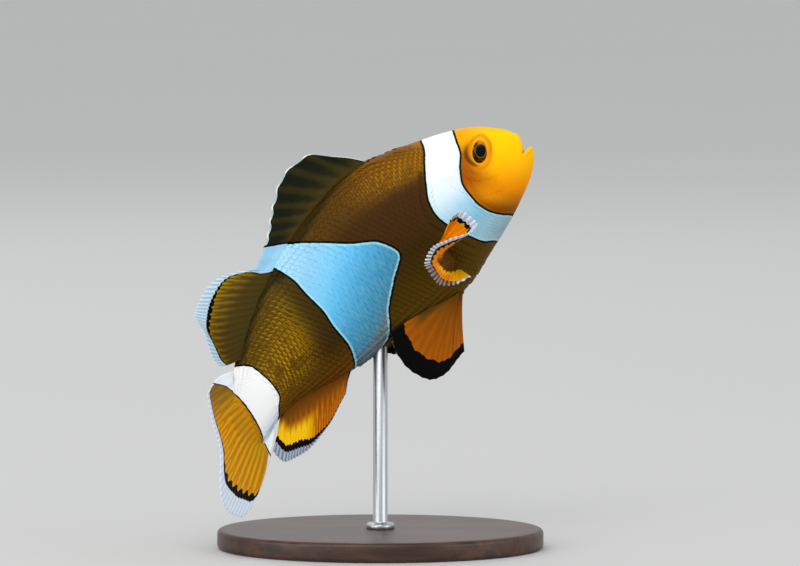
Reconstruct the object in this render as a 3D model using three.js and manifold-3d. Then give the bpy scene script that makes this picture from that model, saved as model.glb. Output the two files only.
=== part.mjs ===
// A life-size false clownfish (Amphiprion ocellaris), climbing head-up with its tail swung to its
// right side, held over a plain oval stand by one rod. Millimetres, +Z up. The origin is the middle
// of the stand's underside, and the fish shows its right side towards -Y.
//
// The fish is first shaped straight: x runs from the snout to the tail, y to its right and z to its
// back, all in shares of the body length. carry() then lays that straight fish along its bent
// spine.
import * as THREE from 'three';
import { mergeVertices } from 'three/addons/utils/BufferGeometryUtils.js';
import Module from 'manifold-3d';

const wasm = await Module();
wasm.setup();

// Driving dimensions, in millimetres and degrees.
const bodyLength = 72;        // snout to the root of the tail fin
const leanBack = 4.5;         // how far the whole fish leans away from -Y
const gap = 0.3;              // clearance between neighbouring pieces
const finRoot = 0.9;          // thickness of a fin at its root
const finEdge = 0.55;         // thickness of a fin at its edge
const finStandOff = 0.39;     // how far the fins of the back and belly stand off the body
const baseLength = 58;        // the stand's oval, along X
const baseDepth = 42;         // and along Y
const baseHeight = 3.5;
const baseRound = 0.8;        // rounding of the oval's rims
const rodRadius = 1.3;
const rodLength = 31.5;       // from the top of the base to the belly
const rodSocket = 2.6;        // how far the rod's end is let into the belly
const rodStation = 0.62;      // where along the body the rod enters

// Smooth curve through points [at, value, value...]: it never swings past the points.
function curve(points) {
  const at = points.map((p) => p[0]);
  const lanes = points[0].length - 1;
  const lane = (k) => {
    const v = points.map((p) => p[k + 1]);
    const rise = v.slice(1).map((b, i) => (b - v[i]) / (at[i + 1] - at[i]));
    const slope = v.map((_, i) => {
      if (i === 0) return rise[0];
      if (i === v.length - 1) return rise[i - 1];
      const [p, q] = [rise[i - 1], rise[i]];
      return p * q <= 0 ? 0 : (2 * p * q) / (p + q);
    });
    return (x) => {
      let i = 0;
      while (i < at.length - 2 && x > at[i + 1]) i += 1;
      const h = at[i + 1] - at[i];
      const t = Math.min(Math.max((x - at[i]) / h, 0), 1);
      const blend = t * t * (3 - 2 * t);
      const ease = h * t * (1 - t);
      return v[i] * (1 - blend) + v[i + 1] * blend + ease * ((1 - t) * slope[i] - t * slope[i + 1]);
    };
  };
  const all = Array.from({ length: lanes }, (_, k) => lane(k));
  return lanes === 1 ? all[0] : (x) => all.map((f) => f(x));
}

// Body outlines: height of the back and belly, and half the width, against the root of the station,
// so that the snout comes out round.
const rooted = (points) => {
  const f = curve(points.map(([s, v]) => [Math.sqrt(s), v]));
  return (s) => f(Math.sqrt(Math.max(s, 0)));
};
const backLine = rooted([[0, 0.034], [0.006, 0.058], [0.02, 0.08], [0.05, 0.108], [0.1, 0.14],
  [0.16, 0.163], [0.22, 0.181], [0.3, 0.203], [0.36, 0.215], [0.42, 0.217], [0.5, 0.21],
  [0.6, 0.193], [0.7, 0.17], [0.8, 0.143], [0.86, 0.126], [0.91, 0.112], [0.95, 0.105],
  [1, 0.102]]);
const bellyLine = rooted([[0, 0.02], [0.004, 0.002], [0.014, -0.014], [0.03, -0.033],
  [0.06, -0.06], [0.11, -0.096], [0.16, -0.124], [0.22, -0.151], [0.3, -0.181], [0.36, -0.19],
  [0.42, -0.19], [0.5, -0.182], [0.6, -0.166], [0.7, -0.143], [0.76, -0.124], [0.82, -0.1],
  [0.87, -0.08], [0.92, -0.07], [1, -0.076]]);
const halfWidth = rooted([[0, 0.008], [0.01, 0.023], [0.03, 0.038], [0.06, 0.051], [0.1, 0.063],
  [0.15, 0.074], [0.2, 0.081], [0.3, 0.088], [0.4, 0.087], [0.5, 0.081], [0.6, 0.071],
  [0.7, 0.058], [0.8, 0.044], [0.9, 0.031], [1, 0.02]]);
const widestAt = 0.45;        // share of the way from belly to back where the body is widest
const flankPinch = 1.15;      // above 1, the section narrows towards back and belly

// A point on the body's skin, at turn 0 on the right flank and 90 on the back.
function skinPoint(station, turn) {
  const top = backLine(station);
  const bottom = bellyLine(station);
  const middle = bottom + (top - bottom) * widestAt;
  const [c, s] = [Math.cos(turn), Math.sin(turn)];
  const z = middle + (s > 0 ? top - middle : middle - bottom) * s;
  return [station, halfWidth(station) * Math.sign(c) * Math.abs(c) ** flankPinch, z];
}

// Half the body's width at a height.
function flankAt(station, z) {
  const top = backLine(station);
  const bottom = bellyLine(station);
  const middle = bottom + (top - bottom) * widestAt;
  const s = z > middle ? (z - middle) / (top - middle) : (z - middle) / (middle - bottom);
  return halfWidth(station) * Math.sqrt(Math.max(1 - s * s, 0)) ** flankPinch;
}

// The spine's pose against the station: climb from level, swing of the tail towards -Y, and roll
// of the back towards -Y, in degrees.
const spinePose = curve([[0, 27, -8, 0], [0.3, 36, -3, 2], [0.55, 45, 3, 8], [0.75, 51, 14, 18],
  [0.9, 58, 32, 30], [1, 57, 49, 38], [1.27, 50, 70, 43]]);

function spineAxes(station) {
  const [climb, swing, roll] = spinePose(station).map(THREE.MathUtils.degToRad);
  const ahead = new THREE.Vector3(Math.cos(climb) * Math.cos(swing), Math.sin(swing),
    Math.sin(climb) * Math.cos(swing));
  const level = new THREE.Vector3(-Math.sin(climb), 0, Math.cos(climb));
  const back = level.clone().multiplyScalar(Math.cos(roll))
    .addScaledVector(ahead.clone().cross(level), Math.sin(roll));
  return { ahead, back, right: ahead.clone().cross(back) };
}

const spineStep = 0.005;
const spineReach = 1.35;      // past the tips of the tail fin
const spine = [new THREE.Vector3()];
for (let i = 0; i * spineStep < spineReach; i += 1) {
  const { ahead } = spineAxes((i + 0.5) * spineStep);
  spine.push(spine[i].clone().addScaledVector(ahead, -spineStep));
}

const leaning = new THREE.Matrix4().makeRotationX(-THREE.MathUtils.degToRad(leanBack));

// Straight fish to bent fish, in millimetres from the snout.
function carry([station, y, z]) {
  const { ahead, back, right } = spineAxes(Math.max(station, 0));
  const place = Math.max(station, 0) / spineStep;
  const i = Math.floor(place);
  const point = spine[i].clone().lerp(spine[i + 1], place - i);
  point.addScaledVector(ahead, Math.max(-station, 0)).addScaledVector(back, z)
    .addScaledVector(right, y);
  return point.multiplyScalar(bodyLength).applyMatrix4(leaning);
}

const rodEnd = carry([rodStation, 0, bellyLine(rodStation)]);
const lift = new THREE.Vector3(-rodEnd.x, -rodEnd.y, baseHeight + rodLength - rodEnd.z);
const place = (p) => carry(p).add(lift);

// Closed geometry from rows of points: each row is a ring, and the ends are closed by fans.
function loft(rings) {
  const n = rings[0].length;
  const points = rings.flat();
  const faces = [];
  const middleOf = (ring) => ring.reduce((a, p) => a.add(p), new THREE.Vector3())
    .divideScalar(n);
  for (let r = 0; r + 1 < rings.length; r += 1) {
    for (let i = 0; i < n; i += 1) {
      const [a, b] = [r * n + i, r * n + ((i + 1) % n)];
      faces.push(a, b, a + n, b, b + n, a + n);
    }
  }
  points.push(middleOf(rings[0]), middleOf(rings[rings.length - 1]));
  const last = (rings.length - 1) * n;
  for (let i = 0; i < n; i += 1) {
    const j = (i + 1) % n;
    faces.push(points.length - 2, j, i, points.length - 1, last + i, last + j);
  }
  return faceted(points, faces);
}

function faceted(points, faces) {
  const geometry = new THREE.BufferGeometry();
  geometry.setAttribute('position',
    new THREE.Float32BufferAttribute(points.flatMap((p) => p.toArray()), 3));
  geometry.setIndex(faces);
  return geometry;
}

// three.js geometry to a manifold solid and back, for the joins and cuts.
function solid(geometry) {
  const bare = geometry.clone();
  bare.deleteAttribute('normal');
  bare.deleteAttribute('uv');
  const merged = mergeVertices(bare, 1e-4);
  return new wasm.Manifold(new wasm.Mesh({
    numProp: 3,
    vertProperties: Float32Array.from(merged.attributes.position.array),
    triVerts: Uint32Array.from(merged.index.array),
  }));
}

function shaped(manifold) {
  const { vertProperties, triVerts } = manifold.getMesh();
  const geometry = new THREE.BufferGeometry();
  geometry.setAttribute('position', new THREE.Float32BufferAttribute(vertProperties, 3));
  geometry.setIndex([...triVerts]);
  return geometry;
}

// Draws the ends of a sliver's shortest edge together, until no cut has left a sliver.
const sliverHeight = 0.03;

function withoutSlivers(geometry) {
  const at = geometry.attributes.position;
  const points = Array.from({ length: at.count },
    (_, i) => new THREE.Vector3().fromBufferAttribute(at, i));
  const edgesOf = ([a, b, c]) => [[a, b], [b, c], [c, a]]
    .map(([p, q]) => ({ p, q, length: points[p].distanceTo(points[q]) }))
    .sort((one, other) => one.length - other.length);
  const isSliver = (face) => {
    const area = new THREE.Triangle(...face.map((i) => points[i])).getArea();
    return 2 * area < sliverHeight * edgesOf(face)[2].length;
  };
  let faces = Array.from({ length: geometry.index.count / 3 },
    (_, i) => [0, 1, 2].map((k) => geometry.index.getX(3 * i + k)));
  for (let sliver = faces.find(isSliver); sliver; sliver = faces.find(isSliver)) {
    const { p, q } = edgesOf(sliver)[0];
    faces = faces.map((face) => face.map((i) => (i === q ? p : i)))
      .filter((face) => new Set(face).size === 3);
  }
  return faceted(points, faces.flat());
}

// Materials by finish.
const finish = (color, roughness, metalness = 0) =>
  new THREE.MeshStandardMaterial({ color, roughness, metalness, flatShading: true });
const finishes = {
  face: finish('#f0a114', 0.45),
  bodyBrown: finish('#6b430f', 0.5),
  barWhite: finish('#cfe6f2', 0.45),
  finOrange: finish('#d0700f', 0.5),
  finDark: finish('#2b2113', 0.5),
  eye: finish('#14110d', 0.1),
  base: finish('#3a2415', 0.5),
  rod: finish('#b9bcc0', 0.3, 1),
};

const model = new THREE.Group();
model.name = 'clownfish_model';

function add(name, geometry, material) {
  geometry.computeVertexNormals();
  const mesh = new THREE.Mesh(geometry, finishes[material]);
  mesh.name = name;
  model.add(mesh);
}

// Stand: an oval base with rounded rims, and a rod let into the belly.
const rimSteps = 3;
const baseSides = 56;
const rodSides = 20;

function ovalBase() {
  const rim = [];
  for (let i = 0; i <= rimSteps; i += 1) {
    const turn = (i / rimSteps) * (Math.PI / 2);
    rim.push([baseRound * (1 - Math.sin(turn)), baseRound * (1 - Math.cos(turn))]);
  }
  const profile = [...rim, ...rim.toReversed().map(([inset, z]) => [inset, baseHeight - z])];
  return loft(profile.map(([inset, z]) => Array.from({ length: baseSides }, (_, i) => {
    const turn = (i / baseSides) * 2 * Math.PI;
    return new THREE.Vector3((baseLength / 2 - inset) * Math.cos(turn),
      (baseDepth / 2 - inset) * Math.sin(turn), z);
  })));
}

function rodOf(radius, from, to) {
  const rod = new THREE.CylinderGeometry(radius, radius, to - from, rodSides);
  rod.rotateX(Math.PI / 2);
  rod.translate(0, 0, (from + to) / 2);
  return rod;
}

const rodFoot = baseHeight + gap;
const rodTop = baseHeight + rodLength + rodSocket;
add('stand_base', ovalBase(), 'base');
add('stand_rod', rodOf(rodRadius, rodFoot, rodTop), 'rod');

// Flesh: the body is one shape, parted by thin cuts into the lengths that a person would name.
const ringPoints = 26;
const halfGap = gap / 2 / bodyLength;

function bodyLengthOf(from, to, rows, spread = (t) => t) {
  const rings = [];
  for (let r = 0; r <= rows; r += 1) {
    const station = from + (to - from) * spread(r / rows);
    rings.push(Array.from({ length: ringPoints },
      (_, i) => place(skinPoint(station, (i / ringPoints) * 2 * Math.PI))));
  }
  return loft(rings);
}

// An eyeball is a flattened ball, set in a socket that follows it at the gap's distance.
const eyeStation = 0.103;
const eyeHeight = 0.077;
const eyeRadius = 0.03;
const eyeDepth = 0.021;       // half its thickness
const eyeStandOut = 0.0075;   // how far it stands out of the cheek
const eyeSides = 18;
const eyeRings = 11;

function eyeBall(side, clearance) {
  const ball = new THREE.SphereGeometry(1, eyeSides, eyeRings);
  const out = flankAt(eyeStation, eyeHeight) + eyeStandOut - eyeDepth;
  const extra = clearance / bodyLength;
  const at = ball.attributes.position;
  for (let i = 0; i < at.count; i += 1) {
    const p = place([eyeStation - at.getX(i) * (eyeRadius + extra),
      side * out - at.getY(i) * (eyeDepth + extra), eyeHeight + at.getZ(i) * (eyeRadius + extra)]);
    at.setXYZ(i, p.x, p.y, p.z);
  }
  return ball;
}

// The mouth is a thin wedge, open at the front, that slants down and back from the lips.
const mouthCorner = [0.02, 0.019];
const mouthSlant = 48;        // below level, in degrees
const mouthDepth = 0.05;      // from the corner to a point ahead of the lips
const mouthParting = 4.5;     // half the angle between the lips, in degrees

function mouthWedge() {
  const reach = 0.06;
  const ahead = (tilt) => {
    const angle = THREE.MathUtils.degToRad(mouthSlant + tilt);
    return [mouthCorner[0] - mouthDepth * Math.cos(angle),
      mouthCorner[1] + mouthDepth * Math.sin(angle)];
  };
  const outline = [mouthCorner, ahead(-mouthParting), ahead(mouthParting)];
  const section = (y) => outline.map(([station, z]) => place([station, y, z]));
  return loft([section(reach), section(-reach)]);
}

const headEnd = 0.27;
const trunkCuts = [0.44, 0.645, 0.87];
let head = solid(bodyLengthOf(0, headEnd - halfGap, 13, (t) => t ** 1.5));
for (const side of [1, -1]) head = head.subtract(solid(eyeBall(side, gap)));
head = head.subtract(solid(mouthWedge()));
add('head', withoutSlivers(shaped(head)), 'face');
add('eye_right', eyeBall(1, 0), 'eye');
add('eye_left', eyeBall(-1, 0), 'eye');

const socket = solid(rodOf(rodRadius + gap, rodFoot, rodTop + gap));
const trunks = [['trunk_front', headEnd, trunkCuts[0], 6, 'bodyBrown'],
  ['trunk_middle', trunkCuts[0], trunkCuts[1], 7, 'barWhite'],
  ['trunk_rear', trunkCuts[1], trunkCuts[2], 8, 'bodyBrown'],
  ['peduncle', trunkCuts[2], 1, 5, 'barWhite']];
for (const [name, from, to, rows, material] of trunks) {
  const flesh = solid(bodyLengthOf(from + halfGap, to - halfGap, rows)).subtract(socket);
  add(name, shaped(flesh), material);
}

// Fins are webs of rays. rows of straight-fish points run from root to edge, and the web is
// thickened to both sides.
function web(rays) {
  const rows = rays.map((ray) => ray.map(place));
  const across = rows[0].length;
  const sides = [[], []];
  rows.forEach((row, i) => row.forEach((p, j) => {
    const along = rows[Math.min(i + 1, rows.length - 1)][j].clone()
      .sub(rows[Math.max(i - 1, 0)][j]);
    const out = row[Math.min(j + 1, across - 1)].clone().sub(row[Math.max(j - 1, 0)]);
    const half = (finRoot + (finEdge - finRoot) * (j / (across - 1))) / 2;
    const normal = along.cross(out).normalize().multiplyScalar(half);
    sides[0].push(p.clone().add(normal));
    sides[1].push(p.clone().sub(normal));
  }));
  const count = sides[0].length;
  const faces = [];
  const quad = (a, b, c, d) => faces.push(a, b, c, a, c, d);
  for (let i = 0; i + 1 < rows.length; i += 1) {
    for (let j = 0; j + 1 < across; j += 1) {
      const [a, b] = [i * across + j, (i + 1) * across + j];
      quad(a, b, b + 1, a + 1);
      quad(count + a, count + a + 1, count + b + 1, count + b);
    }
    const [low, high] = [i * across, (i + 1) * across];
    quad(low, count + low, count + high, high);
    quad(low + across - 1, high + across - 1, count + high + across - 1, count + low + across - 1);
  }
  for (let j = 0; j + 1 < across; j += 1) {
    const far = (rows.length - 1) * across + j;
    quad(j, j + 1, count + j + 1, count + j);
    quad(far, count + far, count + far + 1, far + 1);
  }
  return faceted([...sides[0], ...sides[1]], faces);
}

const shares = (n) => Array.from({ length: n }, (_, i) => i / (n - 1));

// A fin on the back or belly. Its fan lists, from its front to its rear: place along the root,
// lean of the ray towards the tail in degrees, and length of the ray.
function medianFin({ from, to, side, fan, rays, steps }) {
  const ray = curve(fan);
  const root = (side > 0 ? backLine : bellyLine);
  return web(shares(rays).map((u) => {
    const [lean, length] = ray(u);
    const angle = THREE.MathUtils.degToRad(lean);
    const station = from + (to - from) * u;
    const start = root(station) + side * finStandOff / bodyLength;
    return shares(steps).map((v) => [station + v * length * Math.sin(angle), 0,
      start + side * v * length * Math.cos(angle)]);
  }));
}

// A paired fin. Its fan lists, from its leading ray to its last: place along the root, then how
// far the ray's tip lies towards the tail, towards the back and away from the flank.
function pairedFin({ root, side, fan, rays, steps, standOff }) {
  const tip = curve(fan);
  return web(shares(rays).map((u) => {
    const [tail, up, out] = tip(u);
    const station = THREE.MathUtils.lerp(root[0][0], root[1][0], u);
    const height = THREE.MathUtils.lerp(root[0][1], root[1][1], u);
    const flank = flankAt(station, height) + standOff / bodyLength;
    return shares(steps).map((v) =>
      [station + v * tail, side * (flank + v * out), height + v * up]);
  }));
}

// The tail fin: rays fan out from a short upright root, a little taller than the peduncle. The ray
// at each edge starts further forward, close along the peduncle.
const tailSpread = 24;        // half the fan's angle, in degrees
const tailDroop = 6.5;        // how far the fan's middle ray points below the spine, in degrees
const tailRoot = { middle: 0.013, half: 0.108 };
const tailRay = 0.236;        // length of the middle rays
const tailCorner = 0.09;      // how much shorter the rays at the edges are
const tailRounding = 7;       // high: only the last rays are shorter
const tailFlare = 0.008;      // outward bow of the outer rays
const tailEdge = { top: 0.045, bottom: 0.02 };

function tailFin(rays, steps) {
  return web(shares(rays).map((u) => {
    const across = 1 - 2 * u;
    const forward = u === 0 ? tailEdge.top : u === 1 ? tailEdge.bottom : -gap / bodyLength;
    const angle = THREE.MathUtils.degToRad(tailSpread * across - tailDroop);
    const length = tailRay - tailCorner * Math.abs(across) ** tailRounding;
    const root = tailRoot.middle + across * tailRoot.half;
    return shares(steps).map((v) => [
      THREE.MathUtils.lerp(1 - forward, 1 + length * Math.cos(angle), v), 0,
      root + v * length * Math.sin(angle)
      + tailFlare * across * Math.abs(across) * Math.sin(Math.PI * v)]);
  }));
}

add('dorsal_fin_spiny', medianFin({
  from: 0.318, to: 0.655, side: 1, rays: 16, steps: 4,
  fan: [[0, 70, 0.02], [0.09, 28, 0.066], [0.2, 23, 0.104], [0.33, 30, 0.106], [0.5, 42, 0.091],
    [0.78, 50, 0.05], [1, 46, 0.034]],
}), 'finDark');
add('dorsal_fin_soft', medianFin({
  from: 0.667, to: 0.905, side: 1, rays: 15, steps: 5,
  fan: [[0, 36, 0.042], [0.1, 35, 0.105], [0.3, 41, 0.152], [0.5, 46, 0.179], [0.72, 56, 0.198],
    [0.88, 65, 0.158], [1, 68, 0.095]],
}), 'finDark');
add('anal_fin', medianFin({
  from: 0.715, to: 0.915, side: -1, rays: 12, steps: 5,
  fan: [[0, 58, 0.05], [0.3, 48, 0.099], [0.6, 44, 0.121], [0.85, 46, 0.113], [1, 60, 0.075]],
}), 'finOrange');
add('caudal_fin', tailFin(17, 7), 'finOrange');

const pectoralRoot = [[0.306, -0.052], [0.318, -0.125]];
add('pectoral_fin_right', pairedFin({
  root: pectoralRoot, side: 1, rays: 24, steps: 6, standOff: 0.8,
  fan: [[0, -0.067, 0.033, 0.136], [0.07, -0.09, 0.037, 0.15], [0.2, -0.112, -0.003, 0.175],
    [0.27, -0.098, -0.005, 0.185], [0.4, -0.037, 0.016, 0.205], [0.53, 0.02, 0.034, 0.21],
    [0.67, 0.06, 0.033, 0.2], [0.8, 0.063, -0.008, 0.18], [0.94, 0.017, -0.038, 0.155],
    [1, -0.026, -0.042, 0.14]],
}), 'finOrange');
add('pectoral_fin_left', pairedFin({
  root: pectoralRoot, side: -1, rays: 18, steps: 6, standOff: 0.8,
  fan: [[0, 0.05, 0.06, 0.12], [0.3, 0.12, 0.035, 0.165], [0.6, 0.15, -0.02, 0.15],
    [1, 0.09, -0.07, 0.1]],
}), 'finOrange');

const pelvicRoot = [[0.352, -0.193], [0.385, -0.195]];
add('pelvic_fin_right', pairedFin({
  root: pelvicRoot, side: 1, rays: 13, steps: 6, standOff: 1.6,
  fan: [[0, 0.099, -0.105, 0.04], [0.25, 0.165, -0.114, 0.055], [0.5, 0.219, -0.093, 0.06],
    [0.7, 0.23, -0.044, 0.06], [0.85, 0.214, 0.005, 0.055], [1, 0.183, 0.037, 0.05]],
}), 'finOrange');
add('pelvic_fin_left', pairedFin({
  root: pelvicRoot, side: -1, rays: 13, steps: 6, standOff: 1.6,
  fan: [[0, 0.13, -0.082, 0.04], [0.3, 0.205, -0.07, 0.055], [0.6, 0.23, -0.03, 0.06],
    [0.8, 0.222, 0.01, 0.06], [1, 0.194, 0.034, 0.05]],
}), 'finOrange');

export default model;
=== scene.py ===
import math

import bpy
import numpy as np
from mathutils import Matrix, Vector


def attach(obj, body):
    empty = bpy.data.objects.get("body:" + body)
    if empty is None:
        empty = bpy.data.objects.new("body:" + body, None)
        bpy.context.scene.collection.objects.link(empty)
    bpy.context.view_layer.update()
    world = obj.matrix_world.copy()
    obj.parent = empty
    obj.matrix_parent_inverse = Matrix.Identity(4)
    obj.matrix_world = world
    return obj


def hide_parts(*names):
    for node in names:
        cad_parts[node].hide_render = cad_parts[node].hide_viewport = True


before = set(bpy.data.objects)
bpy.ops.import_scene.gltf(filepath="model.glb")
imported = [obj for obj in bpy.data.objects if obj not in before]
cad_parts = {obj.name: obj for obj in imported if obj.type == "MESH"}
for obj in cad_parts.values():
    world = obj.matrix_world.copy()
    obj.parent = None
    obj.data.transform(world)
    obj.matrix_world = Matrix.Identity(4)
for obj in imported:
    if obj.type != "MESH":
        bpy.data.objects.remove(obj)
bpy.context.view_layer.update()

# A life-size clownfish cast in resin, painted and lacquered, on one steel rod over an oval wooden base.
# The fish is shaped straight: station runs from the snout to the tail, y to its right and height to its
# back, all in shares of the body length. place() lays the straight fish along its bent spine, in metres.

mm = 0.001


# Tools for numbers, nodes and pieces

def curve(points):  # smooth through [at, value, value...], never swinging past a point
    table = np.array(points, float)
    at = table[:, 0]
    values = table[:, 1:]
    gaps = np.diff(at)[:, None]
    rise = np.diff(values, axis=0) / gaps
    slope = np.vstack([rise[:1], np.zeros_like(rise[1:]), rise[-1:]])
    before, after = rise[:-1], rise[1:]
    together = before * after > 0
    slope[1:-1][together] = 2 * (before * after)[together] / (before + after)[together]

    def read(x):
        x = np.asarray(x, float)
        i = np.searchsorted(at[1:-1], x, side="left")
        h = (at[i + 1] - at[i])[..., None]
        t = np.clip((x - at[i])[..., None] / h, 0, 1)
        blend = t * t * (3 - 2 * t)
        ease = h * t * (1 - t) * ((1 - t) * slope[i] - t * slope[i + 1])
        found = values[i] * (1 - blend) + values[i + 1] * blend + ease
        return found[..., 0] if found.shape[-1] == 1 else found

    return read


def fullTurn(count):  # angles
    return np.linspace(0, 2 * math.pi, count, endpoint=False)


def ramp(low, high, x):  # 0 at low, 1 at high, smooth between
    t = np.clip((np.asarray(x, float) - low) / (high - low), 0, 1)
    return t * t * (3 - 2 * t)


def bell(x, middle, width):
    return np.exp(-((np.asarray(x, float) - middle) / width) ** 2)


def unit(vectors):
    return vectors / np.maximum(np.linalg.norm(vectors, axis=-1, keepdims=True), 1e-12)


def paint(code):  # sRGB hex to linear colour
    channels = [int(code[i:i + 2], 16) / 255 for i in (1, 3, 5)]
    return (*(c / 12.92 if c <= 0.04045 else ((c + 0.055) / 1.055) ** 2.4 for c in channels), 1.0)


def addNode(tree, kind, settings=None, sockets=None):
    made = tree.nodes.new(kind)
    for key, value in (settings or {}).items():
        if key == "stops":
            stops = made.color_ramp.elements
            while len(stops) < len(value):
                stops.new(0.5)
            for stop, (at, code) in zip(stops, value):
                stop.position = at
                stop.color = paint(code)
        else:
            setattr(made, key, value)
    for key, value in (sockets or {}).items():
        if isinstance(value, bpy.types.NodeSocket):
            tree.links.new(value, made.inputs[key])
        else:
            made.inputs[key].default_value = value
    return made


def newMaterial(name):
    material = bpy.data.materials.new(name)
    material.use_nodes = True
    tree = material.node_tree
    tree.nodes.clear()
    return material, tree


def setAttributes(mesh, values, kind="FLOAT"):  # a number, or a vector, for each point
    for key, each in values.items():
        layer = mesh.attributes.new(key, kind, "POINT")
        layer.data.foreach_set("value" if kind == "FLOAT" else "vector",
                               np.ascontiguousarray(each, np.float32).ravel())


def triangleCount(mesh):
    return sum(len(p.vertices) - 2 for p in mesh.polygons)


def addObject(name, data):
    made = bpy.data.objects.new(name, data)
    bpy.context.collection.objects.link(made)
    return made


def makePiece(name, points, faces, material, replaced=(), attributes=None):
    mesh = bpy.data.meshes.new(name)
    mesh.from_pydata(points.reshape(-1, 3).tolist(), [], faces)
    mesh.polygons.foreach_set("use_smooth", np.ones(len(mesh.polygons), bool))
    setAttributes(mesh, attributes or {})
    mesh.materials.append(material)
    mesh.update()
    ridePiece(addObject(name, mesh), replaced)
    print(f"{name}: {len(mesh.vertices)} points, {triangleCount(mesh)} triangles")


def ridePiece(piece, replaced=()):
    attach(piece, "root")
    if replaced:
        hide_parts(*replaced)


def ringFaces(rows, count):  # quads between rings, and fans to the two points that follow the last ring
    i = np.arange(rows - 1)[:, None] * count
    j = np.arange(count)[None, :]
    k = (j + 1) % count
    quads = np.stack([i + j, i + k, i + k + count, i + j + count], -1).reshape(-1, 4).tolist()
    around = np.arange(count)
    beside = (around + 1) % count
    last, end = (rows - 1) * count, np.full(count, rows * count)
    quads += np.stack([end, beside, around], -1).tolist()
    quads += np.stack([end + 1, last + around, last + beside], -1).tolist()
    return quads


def sheetFaces(wide, deep):  # two sheets of wide x deep points, and the rim that closes them
    count = wide * deep
    a = (np.arange(wide - 1)[:, None] * deep + np.arange(deep - 1)[None, :]).ravel()
    b = a + deep
    front = np.stack([a, b, b + 1, a + 1], -1)
    rear = np.stack([a, a + 1, b + 1, b], -1) + count
    i = np.arange(wide - 1) * deep
    j = np.arange(deep - 1)
    end = (wide - 1) * deep
    rims = [
        np.stack([i, i + count, i + deep + count, i + deep], -1),
        np.stack([i + deep - 1, i + 2 * deep - 1, i + 2 * deep - 1 + count, i + deep - 1 + count], -1),
        np.stack([j, j + 1, j + 1 + count, j + count], -1),
        np.stack([end + j, end + j + count, end + j + 1 + count, end + j + 1], -1),
    ]
    return np.vstack([front, rear, *rims]).tolist()


# The fish's body

body = {
    "length": 72 * mm,       # snout to the root of the tail fin
    "leanBack": 4.5,         # degrees
    "rodStation": 0.62,      # where the rod enters the belly
    "rodTop": 35 * mm,       # height of the belly there
    "widestAt": 0.45,        # share of the way from belly to back
    "flankPinch": 1.15,      # above 1 narrows the section towards back and belly
    "coatDepth": 0.15 * mm,  # how far the skin lies inside the outline, under its scales
}


def rooted(points):
    read = curve([[math.sqrt(s), v] for s, v in points])
    return lambda s: read(np.sqrt(np.maximum(s, 0)))


backLine = rooted([
    [0, 0.034], [0.006, 0.058], [0.02, 0.08], [0.05, 0.108], [0.1, 0.14], [0.16, 0.163], [0.22, 0.181],
    [0.3, 0.203], [0.36, 0.215], [0.42, 0.217], [0.5, 0.21], [0.6, 0.193], [0.7, 0.17], [0.8, 0.143],
    [0.86, 0.126], [0.91, 0.112], [0.95, 0.105], [1, 0.102], [1.04, 0.106], [1.08, 0.108]])
bellyLine = rooted([
    [0, 0.02], [0.004, 0.002], [0.014, -0.014], [0.03, -0.033], [0.06, -0.06], [0.11, -0.096],
    [0.16, -0.124], [0.22, -0.151], [0.3, -0.181], [0.36, -0.19], [0.42, -0.19], [0.5, -0.182],
    [0.6, -0.166], [0.7, -0.143], [0.76, -0.124], [0.82, -0.1], [0.87, -0.08], [0.92, -0.07],
    [1, -0.076], [1.04, -0.081], [1.08, -0.083]])
halfWidth = rooted([
    [0, 0.008], [0.01, 0.023], [0.03, 0.038], [0.06, 0.051], [0.1, 0.063], [0.15, 0.074], [0.2, 0.081],
    [0.3, 0.088], [0.4, 0.087], [0.5, 0.081], [0.6, 0.071], [0.7, 0.058], [0.8, 0.044], [0.9, 0.031],
    [1, 0.02], [1.04, 0.0085], [1.08, 0.003]])
# Climb from level, swing of the tail towards -Y and roll of the back towards -Y, in degrees.
spinePose = curve([
    [0, 27, -8, 0], [0.3, 36, -3, 2], [0.55, 45, 3, 8], [0.75, 51, 14, 18], [0.9, 58, 32, 30],
    [1, 57, 49, 38], [1.27, 50, 70, 43]])


def spineAxes(station):
    climb, swing, roll = np.moveaxis(np.radians(spinePose(station)), -1, 0)
    ahead = np.stack([np.cos(climb) * np.cos(swing), np.sin(swing), np.sin(climb) * np.cos(swing)], -1)
    level = np.stack([-np.sin(climb), 0 * climb, np.cos(climb)], -1)
    back = level * np.cos(roll)[..., None] + np.cross(ahead, level) * np.sin(roll)[..., None]
    return ahead, back, np.cross(ahead, back)


spineStep = 0.005
spineSteps = 270
spine = np.vstack([np.zeros(3), np.cumsum(
    -spineStep * spineAxes((np.arange(spineSteps) + 0.5) * spineStep)[0], axis=0)])
lean = math.radians(body["leanBack"])
leaning = np.array([[1, 0, 0], [0, math.cos(lean), math.sin(lean)], [0, -math.sin(lean), math.cos(lean)]])


def carry(station, y, height):
    station, y, height = np.broadcast_arrays(*(np.asarray(v, float) for v in (station, y, height)))
    along = np.maximum(station, 0)
    ahead, back, right = spineAxes(along)
    i = np.minimum((along / spineStep).astype(int), spineSteps - 1)
    t = (along / spineStep - i)[..., None]
    point = spine[i] * (1 - t) + spine[i + 1] * t
    point = point + ahead * np.maximum(-station, 0)[..., None]
    point = point + back * height[..., None] + right * y[..., None]
    return body["length"] * point @ leaning.T


rodEnd = carry(body["rodStation"], 0, bellyLine(body["rodStation"]))
lift = np.array([-rodEnd[0], -rodEnd[1], body["rodTop"] - rodEnd[2]])


def place(station, y, height):
    return carry(station, y, height) + lift


def bodyHeights(station):  # back, belly and the widest height between them
    top, bottom = backLine(station), bellyLine(station)
    return top, bottom, bottom + (top - bottom) * body["widestAt"]


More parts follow.
